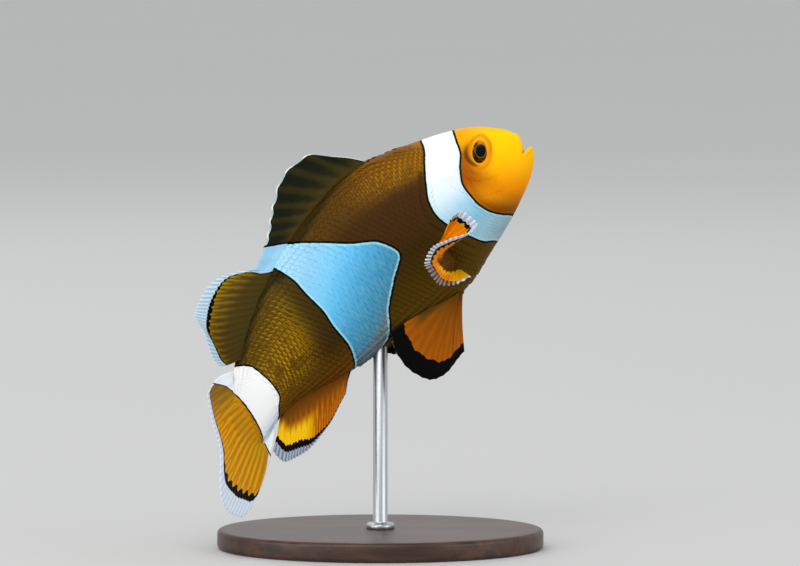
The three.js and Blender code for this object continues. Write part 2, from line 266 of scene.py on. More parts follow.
def section(station, turn):  # turn 0 is the right flank and 90 degrees the back
    top, bottom, middle = bodyHeights(station)
    c, s = np.cos(turn), np.sin(turn)
    height = middle + np.where(s > 0, top - middle, middle - bottom) * s
    y = halfWidth(station) * np.sign(c) * np.abs(c) ** body["flankPinch"]
    return np.broadcast_arrays(station, y, height)


def flankAt(station, height):  # half the body's width at a height
    top, bottom, middle = bodyHeights(station)
    s = np.where(height > middle, (height - middle) / (top - middle), (height - middle) / (middle - bottom))
    return halfWidth(station) * np.sqrt(np.maximum(1 - s * s, 0)) ** body["flankPinch"]


def onBody(station, turn):  # point of the outline, and its outward and tailward directions
    step = 1e-3
    point = place(*section(station, turn))
    tailward = place(*section(station + step, turn)) - point
    upward = place(*section(station, turn + step)) - point
    return point, unit(np.cross(upward, tailward)), unit(tailward)


# Relief of the head: eye socket, mouth, nostril, cheek and gill cover

eye = {
    "station": 0.103, "height": 0.077, "radius": 0.03, "depth": 0.021, "standOut": 0.0075,
    "openHigh": 0.0246, "openWide": 0.0177,   # half the opening in the skin
    "openLower": 0.0045, "openRear": 0.0018,  # how far the opening's middle lies below and behind the pupil's
    "pupilHigh": 0.015, "pupilWide": 0.0121,
    "upward": (-0.45, 0.893),                 # the opening's long axis, as station and height
    "rows": 47, "around": 96,                 # points of the eyeball's mesh
}
mouth = {"corner": (0.02, 0.019), "slant": 48, "parting": 29, "lipWidth": 0.0045,
         "jawForward": 0.3, "upperLipBack": 0.17}   # these two in millimetres
slant = math.radians(mouth["slant"])
lipSlope = math.tan(math.radians(mouth["parting"]))
nostril = {"at": (0.057, 0.09), "radius": 0.0021, "rimAt": 0.0045, "rimWidth": 0.0016}
folds = {  # heights and depths of the head's relief, in millimetres
    "eyelid": 0.08, "eyeRim": 0.07, "eyeDip": 0.05, "eyeHole": 1.1, "socket": 0.34, "socketRim": 0.1,
    "cheek": 0.045, "nostril": 0.22, "nostrilRim": 0.04, "lips": 0.11, "lipFold": 0.06, "jawFold": 0.07,
    "gillCover": 0.09, "gillFold": 0.05, "browFold": 0.05,
}
headReliefEnds = (0.32, 0.36)  # stations between which the relief fades out
gillEdge = curve([[-0.145, 0.19], [-0.115, 0.232], [-0.06, 0.272], [0.0, 0.293], [0.04, 0.287],
                  [0.085, 0.262], [0.12, 0.24]])
cheekEdge = curve([[-0.092, 0.108], [-0.075, 0.135], [-0.045, 0.158], [-0.01, 0.166], [0.035, 0.157]])


def eyeCoordinates(station, height):  # distance above and behind the middle of the eye
    a, b = eye["upward"]
    ds, dz = station - eye["station"], height - eye["height"]
    return ds * a + dz * b, ds * b - dz * a


def mouthCoordinates(station, height):  # distance ahead of the corner, and above the slit
    ds, dz = station - mouth["corner"][0], height - mouth["corner"][1]
    return -ds * math.cos(slant) + dz * math.sin(slant), ds * math.sin(slant) + dz * math.cos(slant)


def partLips(station, height):  # draws the skin back into the open mouth
    ahead, above = mouthCoordinates(station, height)
    half = np.maximum(ahead, 1e-6) * lipSlope + 0.0004
    share = np.clip(np.abs(above) / half, 0, 1)
    inside = (ahead > 0) & (share < 1)
    kept = np.where(inside, np.sin(share * math.pi / 2), 1)
    back = ahead * (1 - kept)
    return station + back * math.cos(slant), height - back * math.sin(slant), np.where(inside, 1 - kept, 0)


def slopeOf(line, at):
    return (line(at + 1e-3) - line(at - 1e-3)) / 2e-3


def edgeDistance(line, station, height):  # in millimetres, positive behind the line
    across = np.sqrt(1 + slopeOf(line, height) ** 2)
    return (station - line(height)) / across * body["length"] / mm


def eyeStandsOut(station, height):  # millimetres that the eyeball stands out of the cheek around it
    inside = np.clip(np.hypot(station - eye["station"], height - eye["height"]) / eye["radius"], 0, 1)
    ball = flankAt(eye["station"], eye["height"]) + eye["standOut"]
    ball = ball - eye["depth"] * (1 - np.sqrt(1 - inside ** 2))
    return (ball - flankAt(station, height)) * body["length"] / mm


def eyeRelief(station, height):  # the eye's opening, rim, socket and the folds round its cheek
    above, behind = eyeCoordinates(station, height)
    distance = np.hypot(above, behind)
    upShare, rearShare = above / np.maximum(distance, 1e-6), behind / np.maximum(distance, 1e-6)
    opening = np.hypot((above + eye["openLower"]) / eye["openHigh"],
                       (behind - eye["openRear"]) / eye["openWide"])
    # The skin hugs the eyeball at the edge of the opening, swells to a rim and dips under inside it.
    hug = np.clip(eyeStandsOut(station, height), -0.45, 0.8) + folds["eyelid"]
    relief = np.maximum(hug, 0) * ramp(2.0, 1.45, opening)
    relief += np.minimum(hug, 0) * ramp(1.55, 1.08, opening)
    relief += folds["eyeRim"] * bell(opening, 1.16, 0.11)
    relief -= folds["eyeDip"] * bell(opening, 1.62, 0.12)
    relief -= folds["eyeHole"] * ramp(0.99, 0.85, opening)
    rear = ramp(-0.2, 0.75, rearShare)
    socket = rear * bell(distance, 0.0348, 0.0056) * ramp(1.1, -0.3, above / 0.0352)
    relief -= folds["socket"] * socket
    relief += folds["socketRim"] * rear * bell(distance, 0.0455, 0.004)
    cheek = 0.4 * bell(distance, 0.056, 0.003) + bell(distance, 0.073, 0.003)
    cheek += 0.6 * bell(distance, 0.11, 0.003)
    cheek = cheek * ramp(0.1, -0.6, upShare) * ramp(0.035, 0.06, station) * ramp(-0.7, -0.25, rearShare)
    return relief - folds["cheek"] * cheek, cheek, socket, opening


def mouthRelief(station, height):  # the lips, the set of the jaw, and the folds behind them
    ahead, over = mouthCoordinates(station, height)
    lipEdge = np.abs(over) - np.maximum(ahead, 0) * lipSlope
    gape = ramp(-0.012, 0.004, ahead)
    nearMouth = gape * ramp(0.06, 0.045, ahead)
    relief = folds["lips"] * nearMouth * bell(lipEdge, mouth["lipWidth"], 0.004)
    jaw = gape * ramp(0.001, -0.004, over) + (1 - gape) * ramp(0.03, -0.05, over)
    relief += mouth["jawForward"] * jaw * ramp(0.1, 0.03, station)
    relief -= mouth["upperLipBack"] * ramp(0.0, 0.005, over) * bell(station, 0, 0.016)
    lipFold = nearMouth * bell(lipEdge, 2.7 * mouth["lipWidth"], 0.0022)
    jawFold = bell(over + 0.25 * (ahead + 0.012), 0, 0.0022) * bell(ahead, -0.012, 0.008)
    return relief - folds["lipFold"] * lipFold - folds["jawFold"] * jawFold, lipFold, jawFold


def headRelief(station, height):  # millimetres of relief, the painted shade of the folds and of the eye's socket, and the eye's opening
    relief, cheek, socket, opening = eyeRelief(station, height)
    fromNostril = np.hypot(station - nostril["at"][0], height - nostril["at"][1])
    hole = bell(fromNostril, 0, nostril["radius"])
    rim = bell(fromNostril, nostril["rimAt"], nostril["rimWidth"])
    relief -= folds["nostril"] * hole
    relief += folds["nostrilRim"] * rim
    ofMouth, lipFold, jawFold = mouthRelief(station, height)
    gill = edgeDistance(gillEdge, station, height)
    gillSpan = ramp(-0.15, -0.11, height) * ramp(0.125, 0.085, height)
    gillFold = gillSpan * bell(gill, 0.3, 0.4)
    gillCover = gillSpan * ramp(-2.8, -0.2, gill) * ramp(0.5, -0.1, gill)
    relief = relief + ofMouth + folds["gillCover"] * gillCover - folds["gillFold"] * gillFold
    brow = edgeDistance(cheekEdge, station, height)
    browFold = bell(brow, 0, 0.34) * ramp(-0.1, -0.07, height) * ramp(0.045, 0.015, height)
    relief -= folds["browFold"] * browFold
    # how dark the folds are painted: shade in the creases
    fold = np.clip(0.42 * cheek + 0.3 * hole + 0.12 * lipFold + 0.2 * jawFold + 0.6 * gillFold
                   + 0.25 * browFold, 0, 1)
    fade = ramp(headReliefEnds[1], headReliefEnds[0], station)
    return relief * fade, fold * fade, socket * fade, opening


# Markings: the three bars and the lie of the gold

# Edges of the bars, as height and station.
headBarFront = curve([[-0.15, 0.1], [-0.1, 0.121], [-0.084, 0.141], [-0.057, 0.165], [-0.023, 0.178],
                      [0.024, 0.183], [0.068, 0.167], [0.101, 0.148], [0.124, 0.144], [0.154, 0.14],
                      [0.19, 0.138]])
headBarRear = curve([[-0.17, 0.172], [-0.131, 0.19], [-0.115, 0.215], [-0.091, 0.232], [-0.025, 0.268],
                     [0.008, 0.276], [0.038, 0.272], [0.078, 0.254], [0.122, 0.23], [0.16, 0.211],
                     [0.184, 0.209], [0.22, 0.208]])
midBarFront = curve([[-0.22, 0.645], [-0.154, 0.608], [-0.15, 0.586], [-0.091, 0.526], [-0.05, 0.466],
                     [-0.009, 0.41], [0.04, 0.43], [0.088, 0.486], [0.132, 0.528], [0.174, 0.569],
                     [0.195, 0.593], [0.225, 0.629], [0.28, 0.69]])
midBarRear = curve([[-0.22, 0.73], [-0.149, 0.699], [-0.122, 0.684], [-0.081, 0.669], [-0.019, 0.662],
                    [0.028, 0.651], [0.079, 0.649], [0.127, 0.644], [0.168, 0.649], [0.203, 0.659],
                    [0.25, 0.72]])
tailBarFront = curve([[-0.09, 0.935], [-0.041, 0.916], [-0.02, 0.896], [0.025, 0.89], [0.079, 0.892],
                      [0.122, 0.929], [0.16, 0.985]])
tailBarRear = curve([[-0.2, 1.0], [-0.09, 0.994], [0.0, 1.0], [0.07, 1.008], [0.105, 1.024],
                     [0.131, 1.05], [0.16, 1.1], [0.2, 1.16]])
bars = {"headBar": (headBarFront, headBarRear), "midBar": (midBarFront, midBarRear),
        "tailBar": (tailBarFront, tailBarRear)}

# Where the dark roots of the back fins reach down over the scales, as station and height.
finRoots = curve([[0.3, 0.25], [0.34, 0.228], [0.362, 0.221], [0.39, 0.214], [0.425, 0.21], [0.452, 0.205],
                  [0.482, 0.196], [0.51, 0.189], [0.536, 0.183], [0.56, 0.175], [0.66, 0.15], [0.69, 0.158],
                  [0.75, 0.146], [0.82, 0.127], [0.88, 0.112], [0.93, 0.12], [1.0, 0.14]])

# Strength of the gold: along the trunk ahead of the middle bar, and from belly to back behind it.
goldAlong = curve([[0.2, 1], [0.3, 0.85], [0.36, 0.6], [0.42, 0.3], [0.5, 0.2], [0.62, 0.2]])
goldUpward = curve([[0, 0.35], [0.2, 0.7], [0.45, 1], [0.75, 0.9], [0.92, 0.6], [1, 0.4]])
tailRoot = {"rays": 15, "middle": 0.013, "half": 0.108}  # the last two as height


def barDepth(bar, station, height):  # millimetres inside a bar, negative outside
    front, rear = bars[bar]
    return np.minimum(edgeDistance(front, station, height), -edgeDistance(rear, station, height))


def markings(station, height):
    station, height = np.broadcast_arrays(station, height)
    top, bottom = backLine(station), bellyLine(station)
    share = np.clip((height - bottom) / (top - bottom), 0, 1)
    behindMiddle = edgeDistance(midBarRear, station, height)
    goldFront = ramp(0.68, 0.88, share) * goldAlong(station)
    goldRear = ramp(0.5, 18.5 - 15 * share, behindMiddle) * goldUpward(share)
    long = body["length"] / mm
    a, b = eye["upward"]
    return {
        **{bar: barDepth(bar, station, height) for bar in bars},
        "behindHead": edgeDistance(headBarFront, station, height),
        "behindTail": edgeDistance(tailBarRear, station, height),
        "gold": np.where(behindMiddle > 0, goldRear, goldFront),
        "tailRay": np.cos(tailRoot["rays"] * np.pi * (height - tailRoot["middle"])
                          / (tailRoot["half"] + 0.45 * (station - 1))),
        # rise: height along the eye's upward axis; the face's painted light from above follows it
        "rise": (b * height + a * station) * long,
        "along": station * long,
        "share": share,
        # painted shade across the middle bar: darker lower down and towards the front
        "tone": share + 1.2 * (station - 0.58),
        "finRoot": (height - finRoots(station)) * long,
    }


# Finishes

lacquer = {
    # face: yellow to orange down the head, with painted light and shade: lighter on top, darker towards the
    # chin
    "face": [(0.03, "#5e3000"), (0.12, "#864600"), (0.24, "#d67e00"), (0.31, "#ee8c00"), (0.45, "#fba600"),
             (0.56, "#ffb600"), (0.72, "#ffc400"), (0.88, "#ffd000"), (1.0, "#e8b004")],
    # Painted shade: darker orange on the lower rear of the face by the head bar, and brown under the chin.
    "faceRearShade": "#a85400", "cheek": "#a04a00", "throatShade": "#764000", "templeFront": "#f09c00",
    # Round the eye: a painted highlight on the raised rim, and painted shade in the dip round it.
    "orbit": "#ee8a00", "orbitDipShade": "#b06000", "orbitRimHighlight": "#ffc414",
    # painted shade in the head's creases, and in the hollow of the socket behind the eye
    "fold": "#4a3204", "socket": "#4a3c04",
    "brownFront": [(0.0, "#5e4006"), (0.08, "#523c04"), (0.2, "#4a3502"), (0.4, "#3a2805"),
                   (0.55, "#40260a"), (0.75, "#422708"), (1.0, "#52360c")],
    "brownRear": [(0.0, "#744404"), (0.12, "#5c3a06"), (0.3, "#3a2806"), (0.7, "#40300a"), (1.0, "#4a3c12")],
    "goldFront": "#b47e08",
    "goldRear": [(0.0, "#bc7c04"), (0.5, "#cc9604"), (0.85, "#ae8a0c"), (1.0, "#8a7014")],
    "betweenFront": "#784c04", "betweenRear": "#604404", "finRoot": "#2a2106",
    "tail": "#cc8c08", "tailEdge": "#7a5006", "tailBetween": "#94640a",
    # The bars are white, with painted shade: blue-grey lower down, white where they face the light above.
    "headBar": [(0.0, "#8aa9b6"), (0.15, "#90bed2"), (0.28, "#80bedb"), (0.42, "#a4d3e9"), (0.55, "#dceefa"),
                (0.75, "#f6fbff")],
    "midBar": [(0.05, "#6a7c82"), (0.14, "#637881"), (0.2, "#4088a6"), (0.3, "#3b94bc"), (0.42, "#48a6d4"),
               (0.55, "#5bbdee"), (0.68, "#7accf4"), (0.82, "#8ccaee"), (1.0, "#a8dbf8")],
    "tailBar": [(0.0, "#c8dcee"), (0.2, "#f0f6fc"), (0.3, "#ffffff")],
    "line": "#020202", "rim": "#a9e6f2",
    "rimStrength": {"headBar": 0.35, "midBar": 0.7, "tailBar": 0.0},
    "barField": {"headBar": "share", "midBar": "tone", "tailBar": "share"},  # what each bar's painted shade follows
    "streak": ("#ffffff", 0.07, (1.3 * mm, 1.3 * mm, 0.2 * mm)),  # colour, strength and size
    "roughness": 0.45, "ior": 1.5,
}


def wobbled(tree, field, amount, scale):  # an edge that wanders in and out, in the field's own measure
    place3 = addNode(tree, "ShaderNodeTexCoord").outputs["Object"]
    noise = addNode(tree, "ShaderNodeTexNoise", sockets={"Vector": place3, "Scale": scale, "Detail": 2.0})
    centred = addNode(tree, "ShaderNodeMath", {"operation": "SUBTRACT"}, {0: noise.outputs["Fac"], 1: 0.5})
    return addNode(tree, "ShaderNodeMath", {"operation": "MULTIPLY_ADD"},
                   {0: centred.outputs[0], 1: 2 * amount, 2: field}).outputs[0]


def layered(tree, fields, colour, layers):  # coats of paint: colour, strength, and the fields that mask it
    for top, strength, masks in layers:
        share = None
        for field, low, high in masks:
            mask = addNode(tree, "ShaderNodeMapRange", {"interpolation_type": "SMOOTHSTEP"}, {
                "Value": fields[field], "From Min": low, "From Max": high,
                "To Max": strength if share is None else 1.0}).outputs[0]
            share = mask if share is None else addNode(
                tree, "ShaderNodeMath", {"operation": "MULTIPLY"}, {0: share, 1: mask}).outputs[0]
        colour = addNode(tree, "ShaderNodeMix", {"data_type": "RGBA"}, {
            0: share, 6: colour, 7: paint(top) if isinstance(top, str) else top}).outputs[2]
    return colour


def graded(tree, field, low, high, stops):  # paint that changes along a field
    share = addNode(tree, "ShaderNodeMapRange", sockets={"Value": field, "From Min": low, "From Max": high})
    return addNode(tree, "ShaderNodeValToRGB", {"stops": stops}, {0: share.outputs[0]}).outputs[0]


def paintFields(tree, scaled):  # what the paints follow
    own = ("lip", "across") if scaled else ("fold", "socket", "orbit")
    fields = {key: addNode(tree, "ShaderNodeAttribute", {"attribute_name": key}).outputs["Fac"] for key in (
        *bars, "behindHead", "behindTail", "gold", "rise", "along", "share", "tone", "finRoot", "tailRay",
        *own)}
    for bar in bars:
        fields[bar] = wobbled(tree, fields[bar], 0.07, 1500.0)
    if scaled:
        for edge, amount in (("lip", 0.05), ("across", 0.15)):
            fields[edge] = wobbled(tree, fields[edge], amount, 1600.0)
    place3 = addNode(tree, "ShaderNodeTexCoord").outputs["Object"]
    fields["patchy"] = addNode(tree, "ShaderNodeTexNoise", sockets={
        "Vector": place3, "Scale": 500.0, "Detail": 2.0}).outputs["Fac"]
    combed = addNode(tree, "ShaderNodeMapping", {"vector_type": "TEXTURE"}, {
        "Vector": place3, "Rotation": (0.0, 0.98, 0.0), "Scale": lacquer["streak"][2]}).outputs[0]
    fields["streaks"] = addNode(tree, "ShaderNodeTexNoise", sockets={
        "Vector": combed, "Scale": 1.0, "Detail": 2.0}).outputs["Fac"]
    return fields


def facePaint(tree, fields, scaled):
    # The face's colour carries painted light from above and painted shade lower down.
    face = layered(tree, fields, graded(tree, fields["rise"], -10.5, 6.3, lacquer["face"]), [
        (lacquer["templeFront"], 0.8, [("behindHead", -5.0, -1.5), ("rise", 7.5, 4.5)]),
        # painted shade on the lower rear of the face, by the head bar
        (lacquer["faceRearShade"], 0.75, [("behindHead", -3.5, -0.2), ("rise", 2.6, -2.5)]),
        (lacquer["cheek"], 0.85, [("behindHead", -7.0, -1.8), ("rise", 4.0, 0.5), ("rise", -6.2, -3.0)]),
        # painted shade under the chin
        (lacquer["throatShade"], 0.8, [("rise", -6.4, -9.2)]),
    ])
    if scaled:
        return face
    return layered(tree, fields, face, [
        (lacquer["orbit"], 0.65, [("orbit", 2.2, 1.3)]),
        # painted shade in the dip round the eye's rim, then a painted highlight on the rim
        (lacquer["orbitDipShade"], 0.3, [("orbit", 1.34, 1.56), ("orbit", 1.8, 1.6)]),
        (lacquer["orbitRimHighlight"], 0.3, [("orbit", 1.26, 1.12)]),
        # painted shade in the creases and in the socket behind the eye
        (lacquer["fold"], 0.7, [("fold", 0.0, 1.0)]),
        (lacquer["socket"], 0.85, [("socket", 0.05, 0.85)]),
    ])


def trunkPaint(tree, fields, scaled):
    brownFront, brownRear, goldRear = (graded(tree, fields["share"], 0, 1, lacquer[key]) for key in (
        "brownFront", "brownRear", "goldRear"))
    gold = layered(tree, fields, goldRear, [(lacquer["goldFront"], 1.0, [("along", 40.0, 26.0)])])
    between = layered(tree, fields, paint(lacquer["betweenRear"]), [
        (lacquer["betweenFront"], 1.0, [("along", 44.0, 30.0)])])
    goldCoat = (gold, 0.45, [("gold", 0.0, 1.0)])
    if scaled:  # a thin dash of gold near the free edge of each scale, over a darker root
        goldCoat = (gold, 0.9, [("lip", 0.7, 0.86), ("lip", 1.01, 0.93), ("across", 0.75, 0.2),
                                ("gold", 0.0, 1.0), ("patchy", 0.3, 0.55)])
    layers = [
        (brownRear, 1.0, [("along", 43.0, 47.0)]),
        (between, 1.0, [("gold", 0.0, 1.0)]),
        goldCoat,
        (lacquer["finRoot"], 0.9, [("finRoot", -0.9, 0.5)]),
        (lacquer["tail"], 1.0, [("behindTail", -0.2, 0.0)]),
        (lacquer["tailBetween"], 0.6, [("behindTail", 0.2, 2.0), ("tailRay", 0.1, -0.7)]),
    ]
    if scaled:
        layers.append((lacquer["tailEdge"], 0.7, [("behindTail", 0.1, 0.5), ("lip", 0.8, 0.95)]))
    return layered(tree, fields, brownFront, layers)


def bodyPaint(tree, scaled):  # the paint that skin and scales share
    fields = paintFields(tree, scaled)
    streakPaint, streakStrength, _ = lacquer["streak"]
    colour = layered(tree, fields, facePaint(tree, fields, scaled), [
        (trunkPaint(tree, fields, scaled), 1.0, [("behindHead", -0.05, 0.05)])])
    for bar in bars:
        # each bar's white, with painted shade turning it blue-grey lower down
        white = graded(tree, fields[lacquer["barField"][bar]], 0, 1, lacquer[bar])
        white = layered(tree, fields, white, [
            (streakPaint, streakStrength, [("streaks", 0.42, 0.66)]),
            (lacquer["rim"], lacquer["rimStrength"][bar], [(bar, 0.5, 0.22)]),
        ])
        colour = layered(tree, fields, colour, [
            (lacquer["line"], 1.0, [(bar, -0.44, -0.3)]),
            (white, 1.0, [(bar, -0.05, 0.05)]),
        ])
    return colour


def lacquerOver(tree, colour, grainScale, grainStrength, gloss):  # satin coat over a fine spray grain
    place3 = addNode(tree, "ShaderNodeTexCoord").outputs["Object"]
    grain = addNode(tree, "ShaderNodeTexNoise", sockets={
        "Vector": place3, "Scale": grainScale, "Detail": 3.0})
    bump = addNode(tree, "ShaderNodeBump", sockets={
        "Strength": grainStrength, "Distance": 0.05 * mm, "Height": grain.outputs["Fac"]})
    shader = addNode(tree, "ShaderNodeBsdfPrincipled", sockets={
        "Base Color": colour, "Roughness": lacquer["roughness"], "IOR": lacquer["ior"],
        "Specular IOR Level": gloss, "Normal": bump.outputs[0]})
    addNode(tree, "ShaderNodeOutputMaterial", sockets={"Surface": shader.outputs[0]})


def fishMaterial(name, scaled):
    # Painted resin under a satin lacquer: deep colour that doesn't change with the view, soft highlights.
    material, tree = newMaterial(name)
    lacquerOver(tree, bodyPaint(tree, scaled), 2500.0, 0.12, 0.06)
    return material


skinMaterial = fishMaterial("painted resin skin", False)
scaleMaterial = fishMaterial("painted resin scales", True)
print("fish finishes made")


# Skin

skin = {
    "around": [(8, 58, 0.66), (58, 122, 3.2), (122, 172, 0.66), (172, 368, 2.8)],  # degrees: from, to, step
    "snoutRows": 62,
    "rows": [(0.03, 0.066, 0.0017), (0.066, 0.142, 0.00105), (0.142, 0.3, 0.0021), (0.3, 1.08, 0.0078)],
    "snoutEnd": 0.03,
    "snoutPoint": (-0.0012, 0, 0.027), "tailPoint": (1.081, 0, 0.0125),  # they close the two ends
}


def steps(spans):
    return np.concatenate([np.linspace(a, b, max(2, round((b - a) / step) + 1))[1:] for a, b, step in spans])


def buildSkin():
    snout = np.linspace(0, math.sqrt(skin["snoutEnd"]), skin["snoutRows"]) ** 2
    stations = np.concatenate([snout, steps(skin["rows"])])
    turns = np.radians(steps(skin["around"]))
    station, turn = np.meshgrid(stations, turns, indexing="ij")
    _, y, height = section(station, turn)
    relief, fold, socket, opening = headRelief(station, height)
    point, outward, _ = onBody(station, turn)
    partedStation, partedHeight, parted = partLips(station, height)
    point = point + place(partedStation, y, partedHeight) - place(station, y, height)
    coat = body["coatDepth"] * ramp(0.1, 0.2, station) * ramp(1.08, 1.0, station)
    point = point + outward * (relief * mm * (1 - parted) - coat)[..., None]
    rows, count = station.shape
    ends = np.array([place(*skin["snoutPoint"]), place(*skin["tailPoint"])])
    marks = markings(station, height)
    # painted shade in the creases and inside the parted mouth
    marks["fold"] = np.maximum(fold, 0.25 * ramp(0.2, 0.8, parted))
    marks["socket"] = socket
    marks["orbit"] = np.minimum(opening, 9)
    marks = {key: np.concatenate([v.ravel(), v[0, :1], v[-1, :1]]) for key, v in marks.items()}
    points = np.vstack([point.reshape(-1, 3), ends])
    makePiece("fish_skin", points, ringFaces(rows, count), skinMaterial,
              ("head", "trunk_front", "trunk_middle", "trunk_rear", "peduncle"), marks)


buildSkin()


# Scales

scales = {
    "pitchAlong": 0.91 * mm,    # from one scale to the next in a row
    "pitchAcross": 1.07 * mm,   # from one row to the next
    "thickness": 0.02 * mm,
    "rise": 0.04 * mm,          # of the free edge
    "from": 0.085, "to": 1.055,
    "clearEye": 0.05, "clearMouth": -0.03, "clearEdge": 0.002,
    # Stations where the back fins' dark roots begin, and where the middle bar crosses the back.
    "finsFrom": 0.34, "barAtBack": (0.575, 0.665),
    # How deep the roots are sunk where the scales show least, in millimetres.
    "sunkHead": 0.012, "sunkPlain": 0.013, "sunkBelly": 0.02,
    "sunkBars": {"headBar": 0.02, "midBar": 0.023, "tailBar": 0.018},
    "bakePatch": 0.0015, "bakeMargin": 0.03,  # one scale's patch in the bake map, and the map's margin
    "seed": 4,
    # The outline of one scale: cells of its mesh, and reach ahead of its root and behind it in pitches.
    "cells": 4, "reachAhead": 0.75, "reachBehind": 0.86, "rounding": 0.5, "curl": 0.035 * mm,
}
scaleSize = curve([[0.08, 0.4], [0.14, 0.44], [0.2, 0.62], [0.27, 0.88], [0.34, 1.08], [0.5, 1.12],
                   [0.7, 1.06], [0.8, 1], [0.92, 0.84], [1.0, 0.68], [1.06, 0.5]])


def buildScaleShape():  # one scale: x towards the tail, z out of the skin
    cells = scales["cells"]
    along, across = np.meshgrid(np.linspace(0, 1, cells + 1), np.linspace(-1, 1, cells + 1), indexing="ij")
    half = scales["pitchAcross"] * (0.72 + 0.28 * ramp(0, 0.5, along))
    y = across * half
    ahead, behind = scales["reachAhead"], scales["reachBehind"] - scales["rounding"] * across ** 2
    x = scales["pitchAlong"] * (-ahead + (ahead + behind) * along)
    z = scales["rise"] * (along ** 1.3 - 0.35) - scales["curl"] * across ** 2 * (0.4 + along)
    top = np.stack([x, y, z], -1).reshape(-1, 3)
    size = cells + 1
    rim = [*range(size)] + [i * size + cells for i in range(1, size)]
    rim += [cells * size + j for j in range(cells - 1, -1, -1)] + [i * size for i in range(cells - 1, 0, -1)]
    low = top[rim] - [0, 0, scales["thickness"]]
    a = (np.arange(cells)[:, None] * size + np.arange(cells)[None, :]).ravel()
    faces = np.stack([a, a + size, a + size + 1, a + 1], -1).tolist()
    count = len(rim)
    for k in range(count):
        n = (k + 1) % count
        faces.append([rim[k], rim[n], len(top) + n, len(top) + k])
    faces.append([len(top) + k for k in range(count)])
    mesh = bpy.data.meshes.new("scale_shape")
    mesh.from_pydata(np.vstack([top, low]).tolist(), [], faces)
    lip = np.concatenate([along.ravel(), along.ravel()[rim]])
    side = np.abs(np.concatenate([across.ravel(), across.ravel()[rim]]))
    setAttributes(mesh, {"lip": lip, "across": side})
    mesh.polygons.foreach_set("use_smooth", np.ones(len(mesh.polygons), bool))
    return bpy.data.objects.new("scale_shape", mesh)


def scaleTree():  # stands one scale on each root, turned to its lie
    tree = bpy.data.node_groups.new("scale rows", "GeometryNodeTree")
    for name, kind in (("Roots", "Geometry"), ("Scale", "Object"), ("Size", "Float"), ("Jitter", "Float"),
                       ("Finish", "Material")):
        tree.interface.new_socket(name, in_out="INPUT", socket_type="NodeSocket" + kind)
    tree.interface.new_socket("Scales", in_out="OUTPUT", socket_type="NodeSocketGeometry")
    given = addNode(tree, "NodeGroupInput").outputs
    named = {}
    for name, kind in (("outward", "FLOAT_VECTOR"), ("tailward", "FLOAT_VECTOR"), ("size", "FLOAT")):
        named[name] = addNode(tree, "GeometryNodeInputNamedAttribute", {"data_type": kind},
                              {"Name": name}).outputs["Attribute"]
    turned = addNode(tree, "FunctionNodeAxesToRotation", {"primary_axis": "Z", "secondary_axis": "X"},
                     {"Primary Axis": named["outward"], "Secondary Axis": named["tailward"]})
    shape = addNode(tree, "GeometryNodeObjectInfo", sockets={"Object": given["Scale"]})
    less = addNode(tree, "ShaderNodeMath", {"operation": "SUBTRACT"}, {0: 1.0, 1: given["Jitter"]})
    more = addNode(tree, "ShaderNodeMath", {"operation": "ADD"}, {0: 1.0, 1: given["Jitter"]})
    jitter = addNode(tree, "FunctionNodeRandomValue", {"data_type": "FLOAT"},
                     {2: less.outputs[0], 3: more.outputs[0], "Seed": scales["seed"]})
    size = addNode(tree, "ShaderNodeMath", {"operation": "MULTIPLY"}, {0: named["size"], 1: given["Size"]})
    size = addNode(tree, "ShaderNodeMath", {"operation": "MULTIPLY"},
                   {0: size.outputs[0], 1: jitter.outputs[1]})
    stood = addNode(tree, "GeometryNodeInstanceOnPoints", sockets={
        "Points": given["Roots"], "Instance": shape.outputs["Geometry"], "Rotation": turned.outputs[0],
        "Scale": size.outputs[0]})
    real = addNode(tree, "GeometryNodeRealizeInstances", sockets={"Geometry": stood.outputs[0]})
    painted = addNode(tree, "GeometryNodeSetMaterial", sockets={
        "Geometry": real.outputs[0], "Material": given["Finish"]})
    addNode(tree, "NodeGroupOutput", sockets={0: painted.outputs[0]})
    return tree


def scaleRoots(side):  # rows follow the body at even distances above and below the middle of the flank
    fine = 721
    stations = []
    at = scales["from"]
    while at < scales["to"]:
        stations.append(at)
        at += 0.5 * scales["pitchAlong"] / body["length"] * float(scaleSize(at))
    found = []
    for n, at in enumerate(stations):
        turns = np.radians(np.linspace(-90, 90, fine))
        ring = place(*section(np.full(fine, at), turns))
        reach = np.concatenate([[0], np.cumsum(np.linalg.norm(np.diff(ring, axis=0), axis=1))])
        reach -= reach[fine // 2]
        pitch = scales["pitchAcross"] * float(scaleSize(at))
        rows = np.arange(math.ceil(reach[0] / pitch), math.floor(reach[-1] / pitch) + 1)
        rows = rows[(rows + n) % 2 == 0]
        turn = np.interp(rows * pitch, reach, turns)
        share = (rows * pitch - reach[0]) / (reach[-1] - reach[0])
        found.append(np.stack([np.full(len(rows), at), turn if side > 0 else math.pi - turn, share], -1))
    roots = np.vstack(found)
    station = roots[:, 0]
    _, _, height = section(station, roots[:, 1])
    clear = np.hypot(*eyeCoordinates(station, height)) > scales["clearEye"]
    clear &= mouthCoordinates(station, height)[0] < scales["clearMouth"]
    barFrom, barTo = scales["barAtBack"]
    toTheBack = (station < scales["finsFrom"]) | ((station > barFrom) & (station < barTo))
    edge = scales["clearEdge"]
    clear &= toTheBack | (height < finRoots(station) + edge)
    clear &= (height > bellyLine(station) + edge) & (height < backLine(station) - edge)
    return roots[clear]


